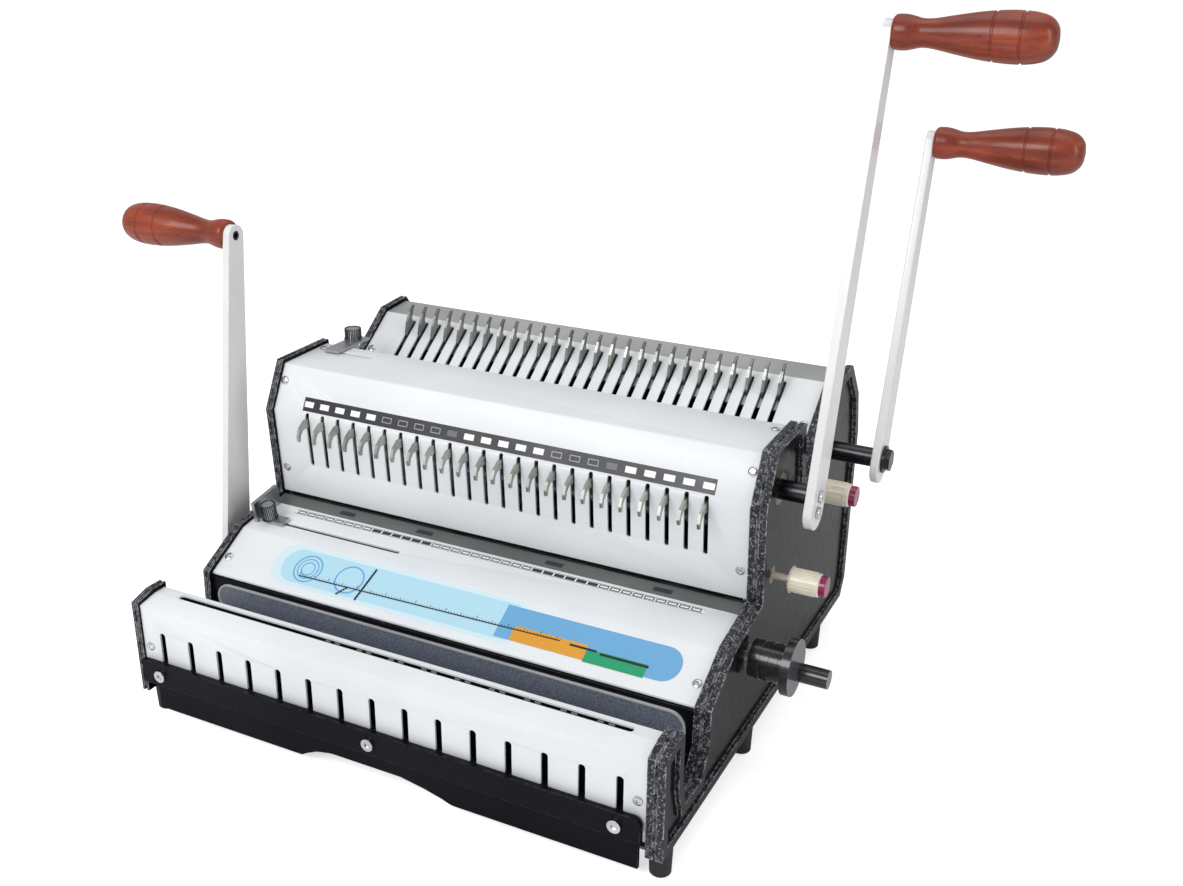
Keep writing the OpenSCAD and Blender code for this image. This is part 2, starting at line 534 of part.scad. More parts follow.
module chip_drawer() color([0.06, 0.06, 0.07]) shift() union() {
 difference() {
  box(-px + 2, px - 2, cy + 2, cy + 4.6, 6, 30.4);
  translate([0, cy + 6, 0]) rotate([90, 0, 0]) linear_extrude(height = 6)
   polygon([[-64, 5], [-60, 8], [-50, 12.6], [-38, 15], [18, 15], [36, 12], [50, 8.6], [60, 5]]);
 }
 difference() {
  box(-drawer_w, drawer_w, cy + 4.5, 150, 15.4, 29.4);
  box(-drawer_w + 1.6, drawer_w - 1.6, cy + 6.2, 148.4, 17, 31);
 }
}

side_cover_left();
side_cover_right();
frame_plate_left();
frame_plate_right();
tie_rods();
feet();
closer_cover();
front_panel();
front_pad();
deck_panel();
throat_plate();
comb_tower_cover();
rear_tower_cover();
rear_top_plate();
rear_cover();
comb_die();
comb_stripper();
comb_guide_posts();
rear_die();
rear_stripper();
rear_guide_posts();
shaft_bushes();
drawer_runners();
cover_screws();
comb_size_strip();
hole_pattern_strip();
gauge_label();
wire_channel();
front_lever_bar();
front_lever_grip();
front_grip_bolt();
front_punch_shaft();
front_lever_screws();
comb_punch_beam();
comb_punch_pins();
comb_hooks();
rear_lever_bar();
rear_lever_grip();
rear_grip_bolt();
rear_punch_shaft();
rear_lever_nut();
rear_punch_beam();
rear_punch_pins();
rear_fingers();
left_lever_bar();
left_lever_grip();
left_grip_bolt();
closer_shaft();
closer_slider();
closer_carriage();
closing_bar();
closing_bar_screws();
size_knob();
size_screw();
gap_nut();
front_dial();
rear_dial();
edge_guide();
rear_edge_guide();
chip_drawer();
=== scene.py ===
import json
import math

import bpy
from mathutils import Matrix, Vector

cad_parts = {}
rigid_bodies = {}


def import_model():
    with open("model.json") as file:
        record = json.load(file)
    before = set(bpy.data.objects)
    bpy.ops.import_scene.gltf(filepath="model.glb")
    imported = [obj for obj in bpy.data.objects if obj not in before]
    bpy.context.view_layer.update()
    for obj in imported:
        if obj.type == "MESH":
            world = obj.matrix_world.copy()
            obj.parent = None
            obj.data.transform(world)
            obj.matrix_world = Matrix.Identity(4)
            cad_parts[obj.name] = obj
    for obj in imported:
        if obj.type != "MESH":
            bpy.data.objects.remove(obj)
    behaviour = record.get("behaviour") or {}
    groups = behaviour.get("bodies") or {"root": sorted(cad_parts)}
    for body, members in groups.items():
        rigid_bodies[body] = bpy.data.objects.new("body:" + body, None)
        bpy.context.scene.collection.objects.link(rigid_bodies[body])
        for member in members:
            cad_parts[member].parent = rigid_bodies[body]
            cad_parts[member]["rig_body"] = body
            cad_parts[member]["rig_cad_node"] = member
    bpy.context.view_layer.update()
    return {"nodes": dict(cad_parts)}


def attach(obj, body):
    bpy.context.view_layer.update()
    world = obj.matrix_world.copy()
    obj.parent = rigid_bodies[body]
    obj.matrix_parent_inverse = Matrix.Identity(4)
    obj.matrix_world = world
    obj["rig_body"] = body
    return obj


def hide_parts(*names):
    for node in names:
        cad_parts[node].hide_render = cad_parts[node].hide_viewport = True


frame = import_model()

nodes = frame["nodes"]
scene = bpy.context.scene
print("frame loaded:", len(nodes), "nodes")

# The machine's driving sizes, in metres. X and Y are counted from the middle of the paper slit.
machine = {
    "middleX": 0.0135,
    "slitY": 0.02215,
    "panelHalf": 0.19575,
    "rightCover": 0.012,
    "throatHeight": 0.112,
    "towerHeight": 0.218,
    "rearTop": 0.226,
    "frontY": -0.162,
    "closerHeight": 0.092,
    "combPitch": 0.0142875,
    "combCount": 24,
    "wirePitch": 0.0254,
}


def spot(x, y, z):
    return Vector((x - machine["middleX"], y - machine["slitY"], z))


def faceFrame(y, z, tilt, upright):
    # local X runs along the machine, local Y up the face, local Z straight out of it
    if upright:
        along = Vector((0, math.sin(tilt), math.cos(tilt)))
    else:
        along = Vector((0, math.cos(tilt), math.sin(tilt)))
    across = Vector((1, 0, 0))
    out = across.cross(along)
    turned = Matrix((across, along, out)).transposed().to_4x4()
    return Matrix.Translation(spot(0, y, z)) @ turned


def makeFaces():
    # places and tilts of the sheet panels; pairs are (y, z), angles in degrees
    shell = {"lean": 3.6, "slope": 36.5, "bendDrop": 0.034, "topRun": 0.017, "topDrop": 0.0012,
             "foldY": 0.151, "foldDrop": 0.003}
    lean = math.radians(shell["lean"])
    throat = machine["throatHeight"]
    faceLength = machine["towerHeight"] - shell["bendDrop"] - throat
    bend = (-faceLength * math.sin(lean), throat + faceLength * math.cos(lean))
    top = (bend[0] + shell["topRun"], machine["towerHeight"] - shell["topDrop"])
    deckFront = (-0.0885, throat - 0.0305)
    deckFold = (-0.0515, throat - 0.0093)
    deckBack = (-0.001, throat - 0.0003)

    def angle(a, b):
        return math.atan2(b[1] - a[1], b[0] - a[0])

    upperLean = math.pi / 2 - angle(bend, top)
    rearFold = machine["rearTop"] - shell["foldDrop"]
    return {
        "face": faceFrame(0, throat, -lean, True),
        "upper": faceFrame(*bend, upperLean, True),
        "slope": faceFrame(*deckFront, angle(deckFront, deckFold), False),
        "deck": faceFrame(*deckFold, angle(deckFold, deckBack), False),
        "rear": faceFrame(shell["foldY"], rearFold, math.radians(shell["slope"]), False),
        "top": faceFrame(0, machine["towerHeight"], 0, False),
        "front": faceFrame(machine["frontY"], 0, 0, True),
    }


faces = makeFaces()


# small helpers for working in object and edit mode
def clearSelection():
    if bpy.context.object and bpy.context.object.mode != "OBJECT":
        bpy.ops.object.mode_set(mode="OBJECT")
    bpy.ops.object.select_all(action="DESELECT")


def makeActive(piece):
    clearSelection()
    piece.select_set(True)
    bpy.context.view_layer.objects.active = piece


def setSelected(mesh, chosen, kind):
    # leaves only the chosen edges or faces, and their corners, selected
    for parts in (mesh.vertices, mesh.edges, mesh.polygons):
        parts.foreach_set("select", [False] * len(parts))
    for part in chosen:
        part.select = True
        for i in part.vertices:
            mesh.vertices[i].select = True
    if kind == "polygons":
        keys = {key for part in chosen for key in part.edge_keys}
        for edge in mesh.edges:
            edge.select = edge.key in keys


def startPick(piece, mode):
    makeActive(piece)
    bpy.ops.object.mode_set(mode="EDIT")
    bpy.ops.mesh.select_mode(type=mode)
    bpy.ops.mesh.select_all(action="DESELECT")


def pickFaces(piece, wanted):
    # selects the faces that wanted(face) accepts and stays in edit mode
    startPick(piece, "FACE")
    bpy.ops.object.mode_set(mode="OBJECT")
    mesh = piece.data
    setSelected(mesh, [face for face in mesh.polygons if wanted(face)], "polygons")
    bpy.ops.object.mode_set(mode="EDIT")


def pickSharp(piece, angle, wanted):
    # selects the edges sharper than angle whose two ends pass wanted(a, b)
    startPick(piece, "EDGE")
    bpy.ops.mesh.edges_select_sharp(sharpness=math.radians(angle))
    bpy.ops.object.mode_set(mode="OBJECT")
    mesh = piece.data
    sharp = [edge for edge in mesh.edges if edge.select]
    chosen = [edge for edge in sharp if wanted(*[mesh.vertices[i].co for i in edge.vertices])]
    setSelected(mesh, chosen, "edges")
    bpy.ops.object.mode_set(mode="EDIT")


def editAllFaces():
    bpy.ops.object.mode_set(mode="EDIT")
    bpy.ops.mesh.select_mode(type="FACE")
    bpy.ops.mesh.select_all(action="SELECT")


def leaveEdit():
    bpy.ops.object.mode_set(mode="OBJECT")


def closeShell():
    # turns every face outward
    bpy.ops.mesh.select_all(action="SELECT")
    bpy.ops.mesh.normals_make_consistent(inside=False)
    leaveEdit()


def deletePiece(piece):
    clearSelection()
    piece.select_set(True)
    bpy.ops.object.delete()


def roundPicked(width, segments):
    bpy.ops.mesh.bevel(
        offset=width, offset_type="OFFSET", segments=segments, affect="EDGES", clamp_overlap=True)
    leaveEdit()


def applyPlace(piece):
    makeActive(piece)
    bpy.ops.object.transform_apply(location=True, rotation=True, scale=True)


def addModifier(piece, kind, **settings):
    modifier = piece.modifiers.new(kind.lower(), kind)
    for key, value in settings.items():
        setattr(modifier, key, value)
    makeActive(piece)
    bpy.ops.object.modifier_apply(modifier=modifier.name)


def softenEdges(piece, width, segments=2, angle=32):
    addModifier(piece, "BEVEL", width=width, segments=segments, limit_method="ANGLE",
                angle_limit=math.radians(angle), use_clamp_overlap=True, miter_outer="MITER_ARC")


def smoothShade(piece, angle=38, weighted=True):
    makeActive(piece)
    bpy.ops.object.shade_smooth_by_angle(angle=math.radians(angle))
    if weighted:
        addModifier(piece, "WEIGHTED_NORMAL", keep_sharp=True, weight=60)


def finishPiece(piece, body, finishNames, replaced=()):
    applyPlace(piece)
    piece.data.materials.clear()
    for name in finishNames:
        piece.data.materials.append(finishes[name])
    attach(piece, body)
    if replaced:
        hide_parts(*replaced)
    return piece


def workingCopy(nodeName, pieceName):
    # a merged copy of a CAD node, ready for rounding
    weld = {"distance": 0.000004, "flat": math.radians(0.4)}
    makeActive(nodes[nodeName])
    bpy.ops.object.duplicate()
    piece = bpy.context.object
    piece.name = pieceName
    piece.parent = None
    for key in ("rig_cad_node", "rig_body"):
        if key in piece:
            del piece[key]
    if piece.data.has_custom_normals:
        bpy.ops.mesh.customdata_custom_splitnormals_clear()
    bpy.ops.object.mode_set(mode="EDIT")
    bpy.ops.mesh.select_all(action="SELECT")
    bpy.ops.mesh.remove_doubles(threshold=weld["distance"])
    bpy.ops.mesh.dissolve_limited(angle_limit=weld["flat"])
    bpy.ops.mesh.normals_make_consistent(inside=False)
    leaveEdit()
    return piece


def placedCopy(source, pieceName, matrix):
    makeActive(source)
    bpy.ops.object.duplicate()
    piece = bpy.context.object
    piece.name = pieceName
    piece.matrix_world = matrix
    applyPlace(piece)
    return piece


# shared node groups
nodeGap = 200


def addNode(tree, kind, **settings):
    node = tree.nodes.new("ShaderNode" + kind)
    node.location = (nodeGap * len(tree.nodes), 0)
    for key, value in settings.items():
        setattr(node, key, value)
    return node


def newGroup(name, inputs, outputs):
    group = bpy.data.node_groups.new(name, "ShaderNodeTree")
    for label, value in inputs:
        kind = "NodeSocketVector" if isinstance(value, tuple) else "NodeSocketFloat"
        socket = group.interface.new_socket(name=label, in_out="INPUT", socket_type=kind)
        socket.default_value = value
    for label in outputs:
        group.interface.new_socket(name=label, in_out="OUTPUT", socket_type="NodeSocketFloat")
    return group, group.nodes.new("NodeGroupInput"), group.nodes.new("NodeGroupOutput")


def linkAll(tree, links):
    # each link is (from node, output, to node, input)
    for source, output, target, entry in links:
        tree.links.new(source.outputs[output], target.inputs[entry])


def addRange(group, low, high, **settings):
    node = addNode(group, "MapRange", **settings)
    node.inputs["From Min"].default_value = low
    node.inputs["From Max"].default_value = high
    return node


def buildGrainGroup():
    # noise on the piece's own coordinates; Stretch draws it out along one way
    group, enter, leave = newGroup(
        "surfaceGrain",
        [("Scale", 300.0), ("Stretch", (1.0, 1.0, 1.0)), ("Detail", 3.0), ("Low", 0.3), ("High", 0.7)],
        ["Value"])
    place = addNode(group, "TexCoord")
    stretch = addNode(group, "VectorMath", operation="MULTIPLY")
    noise = addNode(group, "TexNoise")
    spread = addNode(group, "MapRange")
    linkAll(group, [
        (place, "Object", stretch, 0),
        (enter, "Stretch", stretch, 1),
        (stretch, 0, noise, "Vector"),
        (enter, "Scale", noise, "Scale"),
        (enter, "Detail", noise, "Detail"),
        (noise, "Fac", spread, "Value"),
        (enter, "Low", spread, "From Min"),
        (enter, "High", spread, "From Max"),
        (spread, "Result", leave, "Value")])
    return group


def buildWearGroup():
    # bright on outer edges, broken up by noise; edge wear on most finishes, and a painted highlight along the
    # edges of the pebble black
    group, enter, leave = newGroup(
        "edgeWear", [("Radius", 0.0012), ("Amount", 1.0), ("Breakup", 220.0)], ["Mask"])
    bevel = addNode(group, "Bevel", samples=4)
    shape = addNode(group, "NewGeometry")
    match = addNode(group, "VectorMath", operation="DOT_PRODUCT")
    turned = addRange(group, 0.995, 0.86)
    place = addNode(group, "TexCoord")
    noise = addNode(group, "TexNoise")
    broken = addRange(group, 0.42, 0.62)
    product = addNode(group, "Math", operation="MULTIPLY")
    scaled = addNode(group, "Math", operation="MULTIPLY", use_clamp=True)
    linkAll(group, [
        (enter, "Radius", bevel, "Radius"),
        (bevel, "Normal", match, 0),
        (shape, "Normal", match, 1),
        (match, "Value", turned, "Value"),
        (place, "Object", noise, "Vector"),
        (enter, "Breakup", noise, "Scale"),
        (noise, "Fac", broken, "Value"),
        (turned, "Result", product, 0),
        (broken, "Result", product, 1),
        (product, "Value", scaled, 0),
        (enter, "Amount", scaled, 1),
        (scaled, "Value", leave, "Mask")])
    return group


def buildPebbleGroup():
    # rounded pebbles with fine grit between them
    group, enter, leave = newGroup("pebbleSkin", [("Scale", 620.0), ("Grit", 0.25)], ["Height", "Crown"])
    place = addNode(group, "TexCoord")
    bend = addNode(group, "TexNoise")
    bend.inputs["Scale"].default_value = 260.0
    warped = addNode(group, "VectorMath", operation="MULTIPLY_ADD")
    warped.inputs[1].default_value = (0.0012, 0.0012, 0.0012)
    cells = addNode(group, "TexVoronoi", feature="SMOOTH_F1")
    cells.inputs["Smoothness"].default_value = 0.6
    crownHighlight = addRange(group, 0.62, 0.12, interpolation_type="SMOOTHSTEP")
    grit = addNode(group, "TexNoise")
    grit.inputs["Scale"].default_value = 2400.0
    mixed = addNode(group, "Math", operation="MULTIPLY_ADD")
    linkAll(group, [
        (place, "Object", bend, "Vector"),
        (bend, "Color", warped, 0),
        (place, "Object", warped, 2),
        (warped, 0, cells, "Vector"),
        (enter, "Scale", cells, "Scale"),
        (cells, "Distance", crownHighlight, "Value"),
        (place, "Object", grit, "Vector"),
        (grit, "Fac", mixed, 0),
        (enter, "Grit", mixed, 1),
        (crownHighlight, "Result", mixed, 2),
        (mixed, "Value", leave, "Height"),
        (crownHighlight, "Result", leave, "Crown")])
    return group


grainGroup = buildGrainGroup()
wearAndHighlightGroup = buildWearGroup()
pebbleGroup = buildPebbleGroup()


def placeGroup(tree, group, **values):
    node = addNode(tree, "Group", node_tree=group)
    for key, value in values.items():
        node.inputs[key].default_value = value
    return node


def mixColours(tree, factor, first, second):
    # first and second are colours or sockets
    mix = addNode(tree, "Mix", data_type="RGBA")
    tree.links.new(factor, mix.inputs[0])
    for socket, value in ((mix.inputs[6], first), (mix.inputs[7], second)):
        if isinstance(value, tuple):
            socket.default_value = (*value, 1.0)
        else:
            tree.links.new(value, socket)
    return mix.outputs[2]


def spreadValue(tree, source, low, high):
    node = addNode(tree, "MapRange")
    node.inputs["To Min"].default_value = low
    node.inputs["To Max"].default_value = high
    tree.links.new(source, node.inputs["Value"])
    return node.outputs["Result"]


def addBump(tree, height, strength, distance):
    bump = addNode(tree, "Bump")
    bump.inputs["Strength"].default_value = strength
    bump.inputs["Distance"].default_value = distance
    tree.links.new(height, bump.inputs["Height"])
    return bump.outputs["Normal"]


def linkShader(tree, shader, colour, rough, normal):
    tree.links.new(colour, shader.inputs["Base Color"])
    tree.links.new(rough, shader.inputs["Roughness"])
    tree.links.new(normal, shader.inputs["Normal"])


def newMaterial(name, metallic=0.0, coat=0.0, coatRoughness=0.1, specular=0.5):
    material = bpy.data.materials.new(name)
    material.use_nodes = True
    shader = material.node_tree.nodes["Principled BSDF"]
    shader.inputs["Metallic"].default_value = metallic
    shader.inputs["Coat Weight"].default_value = coat
    shader.inputs["Coat Roughness"].default_value = coatRoughness
    shader.inputs["Specular IOR Level"].default_value = specular
    return material, material.node_tree, shader


# finishes
def layeredFinish(name, look, drift, grain, wear, lift):
    # drifting tone under worn edges, with the fine grain driving roughness and relief
    material, tree, shader = newMaterial(
        name, look.get("metallic", 0.0), look.get("coat", 0.0), look.get("coatRoughness", 0.1),
        look.get("specular", 0.5))
    driftNode = placeGroup(tree, grainGroup, **drift)
    grainNode = placeGroup(tree, grainGroup, **grain)
    wearNode = placeGroup(tree, wearAndHighlightGroup, **wear)
    under, over, bare = look["tones"]
    base = mixColours(tree, driftNode.outputs["Value"], under, over)
    worn = mixColours(tree, wearNode.outputs["Mask"], base, bare)
    rough = spreadValue(tree, grainNode.outputs["Value"], look["smooth"], look["rough"])
    normal = addBump(tree, grainNode.outputs["Value"], look["bump"], lift)
    linkShader(tree, shader, worn, rough, normal)
    return material


def paintFinish(name, look):
    # sprayed or powder paint: slow drift, orange peel, thin worn edges
    look = {"coatRoughness": 0.15, "driftScale": 9.0, **look}
    return layeredFinish(
        name, look, {"Scale": look["driftScale"], "Detail": 4.0},
        {"Scale": look["peelScale"], "Detail": 2.0}, {"Radius": 0.0011, "Amount": look["wear"]}, 0.00012)


def metalFinish(name, look):
    # plated or ground steel: grain drawn out one way, small stains
    return layeredFinish(
        name, {"metallic": 1.0, **look}, {"Scale": 38.0, "Detail": 4.0, "Low": 0.4, "High": 0.75},
        {"Scale": look["scale"], "Stretch": look["stretch"], "Detail": 5.0},
        {"Radius": 0.0006, "Amount": 0.6}, 0.00005)


def plasticFinish(name, look):
    # moulded plastic or rubber: soft drift and a fine grit
    return layeredFinish(
        name, {"coat": 0.2, **look}, {"Scale": 60.0, "Detail": 3.0}, {"Scale": 1600.0, "Detail": 2.0},
        {"Radius": 0.0007, "Amount": 0.5}, 0.00004)


def pebbleFinish(name, look):
    # hammered black: pebbles with a painted highlight on their crowns in patches, and a painted highlight
    # along the edges
    material, tree, shader = newMaterial(name)
    pebble = placeGroup(tree, pebbleGroup, Scale=look["scale"], Grit=look["grit"])
    patches = placeGroup(
        tree, grainGroup, Scale=look["patchScale"], Detail=3.0, Low=0.45, High=0.62)
    wear = placeGroup(tree, wearAndHighlightGroup, Radius=0.0012, Amount=0.9)
    lit = addNode(tree, "Math", operation="MULTIPLY")
    linkAll(tree, [(pebble, "Crown", lit, 0), (patches, "Value", lit, 1)])
    # painted highlight: the pebble crowns take a pale blue-grey in patches
    base = mixColours(tree, lit.outputs[0], look["dark"], look["crownHighlight"])
    # painted highlight: a pale grey mixed in along the outer edges
    worn = mixColours(tree, wear.outputs["Mask"], base, look["worn"])
    rough = spreadValue(tree, pebble.outputs["Crown"], look["rough"], look["smooth"])
    normal = addBump(tree, pebble.outputs["Height"], look["bump"], look["depth"])
    linkShader(tree, shader, worn, rough, normal)
    return material


def woodFinish(name, look):
    # varnished wood: broad figure, long streaks and dark pores
    material, tree, shader = newMaterial(name, 0.0, look["coat"], 0.12, look["specular"])
    figure = placeGroup(tree, grainGroup, Scale=42.0, Stretch=(0.35, 1.6, 1.6), Detail=5.0)
    streak = placeGroup(tree, grainGroup, Scale=300.0, Stretch=(0.06, 1.2, 1.2), Detail=4.0)
    pores = placeGroup(
        tree, grainGroup, Scale=1500.0, Stretch=(0.05, 1.0, 1.0), Low=0.62, High=0.72)
    tone = mixColours(tree, figure.outputs["Value"], look["pale"], look["deep"])
    halfStreak = spreadValue(tree, streak.outputs["Value"], 0.0, look["streak"])
    streaked = mixColours(tree, halfStreak, tone, look["deep"])
    pored = mixColours(tree, pores.outputs["Value"], streaked, look["pore"])
    rough = spreadValue(tree, streak.outputs["Value"], look["smooth"], look["rough"])
    normal = addBump(tree, streak.outputs["Value"], look["bump"], 0.0001)
    linkShader(tree, shader, pored, rough, normal)
    return material


def inkFinish(name, tones):
    # printed film: small screen dots of a slightly paler tint
    material, tree, shader = newMaterial(name)
    dots = placeGroup(tree, grainGroup, Scale=1900.0, Detail=1.0, Low=0.45, High=0.7)
    drift = placeGroup(tree, grainGroup, Scale=35.0, Detail=3.0)
    half = spreadValue(tree, dots.outputs["Value"], 0.0, 0.35)
    base = mixColours(tree, half, *tones)
    rough = spreadValue(tree, drift.outputs["Value"], 0.3, 0.42)
    normal = addBump(tree, dots.outputs["Value"], 0.05, 0.00002)
    linkShader(tree, shader, base, rough, normal)
    return material


# looks of the finishes; tones are the two the drift moves between, then the worn one
paints = {
    "powderWhite": {"tones": ((0.68, 0.705, 0.73), (0.77, 0.79, 0.805), (0.5, 0.52, 0.54)), "wear": 0.5,
        "peelScale": 520.0, "smooth": 0.34, "rough": 0.48, "bump": 0.12},
    "leverEnamel": {"tones": ((0.7, 0.695, 0.7), (0.78, 0.77, 0.765), (0.4, 0.4, 0.43)), "wear": 0.6,
        "peelScale": 420.0, "smooth": 0.16, "rough": 0.27, "bump": 0.08, "coat": 0.3},
    "glossBlack": {"tones": ((0.003, 0.003, 0.004), (0.007, 0.0075, 0.009), (0.12, 0.12, 0.13)),
        "wear": 0.4, "peelScale": 150.0, "smooth": 0.12, "rough": 0.24, "bump": 0.2, "specular": 0.06},
    "blackEnamel": {"tones": ((0.0025, 0.0025, 0.005), (0.006, 0.006, 0.011), (0.16, 0.16, 0.19)),
        "wear": 0.35, "peelScale": 700.0, "smooth": 0.24, "rough": 0.38, "bump": 0.2, "specular": 0.08},
    "padGrey": {"tones": ((0.06, 0.07, 0.1), (0.2, 0.225, 0.28), (0.4, 0.42, 0.46)), "wear": 0.3,
        "driftScale": 900.0, "peelScale": 1800.0, "smooth": 0.42, "rough": 0.6, "bump": 0.35},
    "bandGrey": {"tones": ((0.075, 0.08, 0.078), (0.12, 0.125, 0.122), (0.3, 0.3, 0.3)), "wear": 0.4,
        "peelScale": 900.0, "smooth": 0.3, "rough": 0.45, "bump": 0.15},
    "plateGrey": {"tones": ((0.3, 0.305, 0.3), (0.42, 0.425, 0.42), (0.6, 0.6, 0.6)), "wear": 0.4,
        "peelScale": 700.0, "smooth": 0.3, "rough": 0.45, "bump": 0.12},
}
metals = {
    "zincSteel": {"tones": ((0.5, 0.51, 0.53), (0.36, 0.37, 0.38), (0.7, 0.7, 0.72)), "scale": 420.0,
        "stretch": (0.15, 1.0, 1.0), "smooth": 0.28, "rough": 0.45, "bump": 0.15},
    "groundSteel": {"tones": ((0.66, 0.67, 0.7), (0.5, 0.51, 0.54), (0.8, 0.8, 0.82)), "scale": 900.0,
        "stretch": (1.0, 1.0, 0.1), "smooth": 0.18, "rough": 0.32, "bump": 0.1},
    "hookSteel": {"tones": ((0.5, 0.5, 0.45), (0.26, 0.255, 0.23), (0.7, 0.7, 0.67)), "scale": 700.0,
        "stretch": (1.0, 0.3, 1.0), "smooth": 0.26, "rough": 0.42, "bump": 0.2},
    "fingerSteel": {"tones": ((0.3, 0.3, 0.28), (0.12, 0.12, 0.12), (0.7, 0.7, 0.68)), "scale": 700.0,
        "stretch": (1.0, 0.3, 1.0), "smooth": 0.24, "rough": 0.42, "bump": 0.2},
    "blackSteel": {"tones": ((0.06, 0.06, 0.066), (0.03, 0.03, 0.033), (0.35, 0.35, 0.36)), "scale": 800.0,
        "stretch": (0.12, 1.0, 1.0), "smooth": 0.2, "rough": 0.34, "bump": 0.12},
    "brightScrew": {"tones": ((0.7, 0.7, 0.72), (0.42, 0.42, 0.44), (0.85, 0.85, 0.86)), "scale": 1200.0,
        "stretch": (1.0, 1.0, 1.0), "smooth": 0.12, "rough": 0.24, "bump": 0.05},
    "bushBrass": {"tones": ((0.16, 0.12, 0.07), (0.07, 0.05, 0.03), (0.4, 0.32, 0.2)), "scale": 700.0,
        "stretch": (0.2, 1.0, 1.0), "smooth": 0.2, "rough": 0.36, "bump": 0.12},
}
plastics = {
    "footRubber": {"tones": ((0.008, 0.008, 0.008), (0.02, 0.02, 0.021), (0.08, 0.08, 0.08)),
        "smooth": 0.55, "rough": 0.75, "bump": 0.5, "coat": 0.0},
    "knobBlack": {"tones": ((0.008, 0.008, 0.01), (0.018, 0.018, 0.021), (0.16, 0.16, 0.17)),
        "smooth": 0.14, "rough": 0.26, "bump": 0.12, "coat": 0.35},
    # the knob's disc face: a dark blue-grey, partly the disc's own colour and partly a painted blue-grey
    # sheen
    "knobFace": {"tones": ((0.035, 0.04, 0.055), (0.07, 0.078, 0.1), (0.4, 0.4, 0.42)), "smooth": 0.16,
        "rough": 0.3, "bump": 0.1},
    "dialCream": {"tones": ((0.66, 0.6, 0.47), (0.8, 0.75, 0.63), (0.9, 0.88, 0.82)), "smooth": 0.18,
        "rough": 0.32, "bump": 0.12},
    "dialRed": {"tones": ((0.2, 0.006, 0.05), (0.33, 0.012, 0.09), (0.5, 0.1, 0.2)), "smooth": 0.16,
        "rough": 0.28, "bump": 0.1},
}
# on the pebble black, the crown colour is a painted highlight on the pebble tops and the edge colour a
# painted highlight along the edges
pebbles = {
    "pebbleBlack": {"dark": (0.004, 0.004, 0.007), "crownHighlight": (0.36, 0.37, 0.43), "worn": (0.62, 0.62, 0.68),
        "scale": 880.0, "grit": 0.3, "patchScale": 420.0, "depth": 0.0003, "smooth": 0.26, "rough": 0.5,
        "bump": 0.9},
}
woods = {
    "gripWood": {"pale": (0.43, 0.078, 0.03), "deep": (0.13, 0.016, 0.007), "pore": (0.035, 0.008, 0.005),
        "streak": 0.55, "smooth": 0.28, "rough": 0.42, "bump": 0.12, "coat": 0.2, "specular": 0.3},
}
# full ink and faded ink
inks = {
    "inkBlack": ((0.006, 0.006, 0.009), (0.02, 0.02, 0.03)),
    "inkWhite": ((0.82, 0.83, 0.84), (0.72, 0.73, 0.75)),
    "inkGrey": ((0.1, 0.105, 0.11), (0.16, 0.165, 0.17)),
    "inkPale": ((0.3, 0.31, 0.33), (0.4, 0.41, 0.43)),
    "inkBlue": ((0.13, 0.36, 0.62), (0.2, 0.44, 0.68)),
    "inkOrange": ((0.68, 0.3, 0.02), (0.74, 0.4, 0.08)),
    "inkGreen": ((0.008, 0.3, 0.13), (0.03, 0.4, 0.2)),
    "inkSky": ((0.4, 0.66, 0.78), (0.56, 0.75, 0.82)),
    "inkMist": ((0.6, 0.75, 0.81), (0.69, 0.77, 0.8)),
}
finishes = {}
for makeFinish, looks in (
        (paintFinish, paints), (metalFinish, metals), (plasticFinish, plastics), (pebbleFinish, pebbles),
        (woodFinish, woods), (inkFinish, inks)):
    for finishName, look in looks.items():
        finishes[finishName] = makeFinish(finishName, look)
print("finishes made:", len(finishes))


# finishes of the parts that keep their CAD surface, most of them inside
def dressNodes():
    plain = {
        "zincSteel": ["frame_plate_left", "frame_plate_right", "tie_rods", "drawer_runners", "comb_die",
                      "comb_stripper", "comb_punch_beam", "rear_die", "rear_stripper", "rear_punch_beam",
                      "closer_slider", "gap_nut"],
        "groundSteel": ["comb_guide_posts", "rear_guide_posts", "comb_punch_pins", "rear_punch_pins",
                        "size_screw"],
        "blackSteel": ["front_punch_shaft", "rear_punch_shaft", "closer_shaft"],
        "bushBrass": ["shaft_bushes"],
        "blackEnamel": ["closer_carriage"],
    }
    for finish, names in plain.items():
        for name in names:
            mesh = nodes[name].data
            mesh.materials.clear()
            mesh.materials.append(finishes[finish])
            for polygon in mesh.polygons:
                polygon.material_index = 0


dressNodes()
print("CAD nodes dressed")


sameSpot = 0.00002
sameX = 0.00001


def alongX(a, b):
    return abs(a.y - b.y) + abs(a.z - b.z) < sameSpot


def alongY(a, b):
    return abs(a.x - b.x) + abs(a.z - b.z) < sameSpot


def longLine(a, b):
    return alongX(a, b) and (a - b).length > machine["panelHalf"]


def paintFaces(piece, index, wanted):
    for polygon in piece.data.polygons:
        if wanted(polygon.normal, polygon.center):
            polygon.material_index = index


def titled(nodeName):
    # comb_hooks becomes CombHooks
    return "".join(word.capitalize() for word in nodeName.split("_"))


def softPiece(nodeName, look):
    # a node that only needs its edges softened
    look = {"steps": 2, "angle": 40, "shade": 34, **look}
    piece = workingCopy(nodeName, look.get("piece", titled(nodeName)))
    softenEdges(piece, look["edge"], look["steps"], look["angle"])
    smoothShade(piece, look["shade"])
    return finishPiece(piece, look["body"], look["finish"], [nodeName])


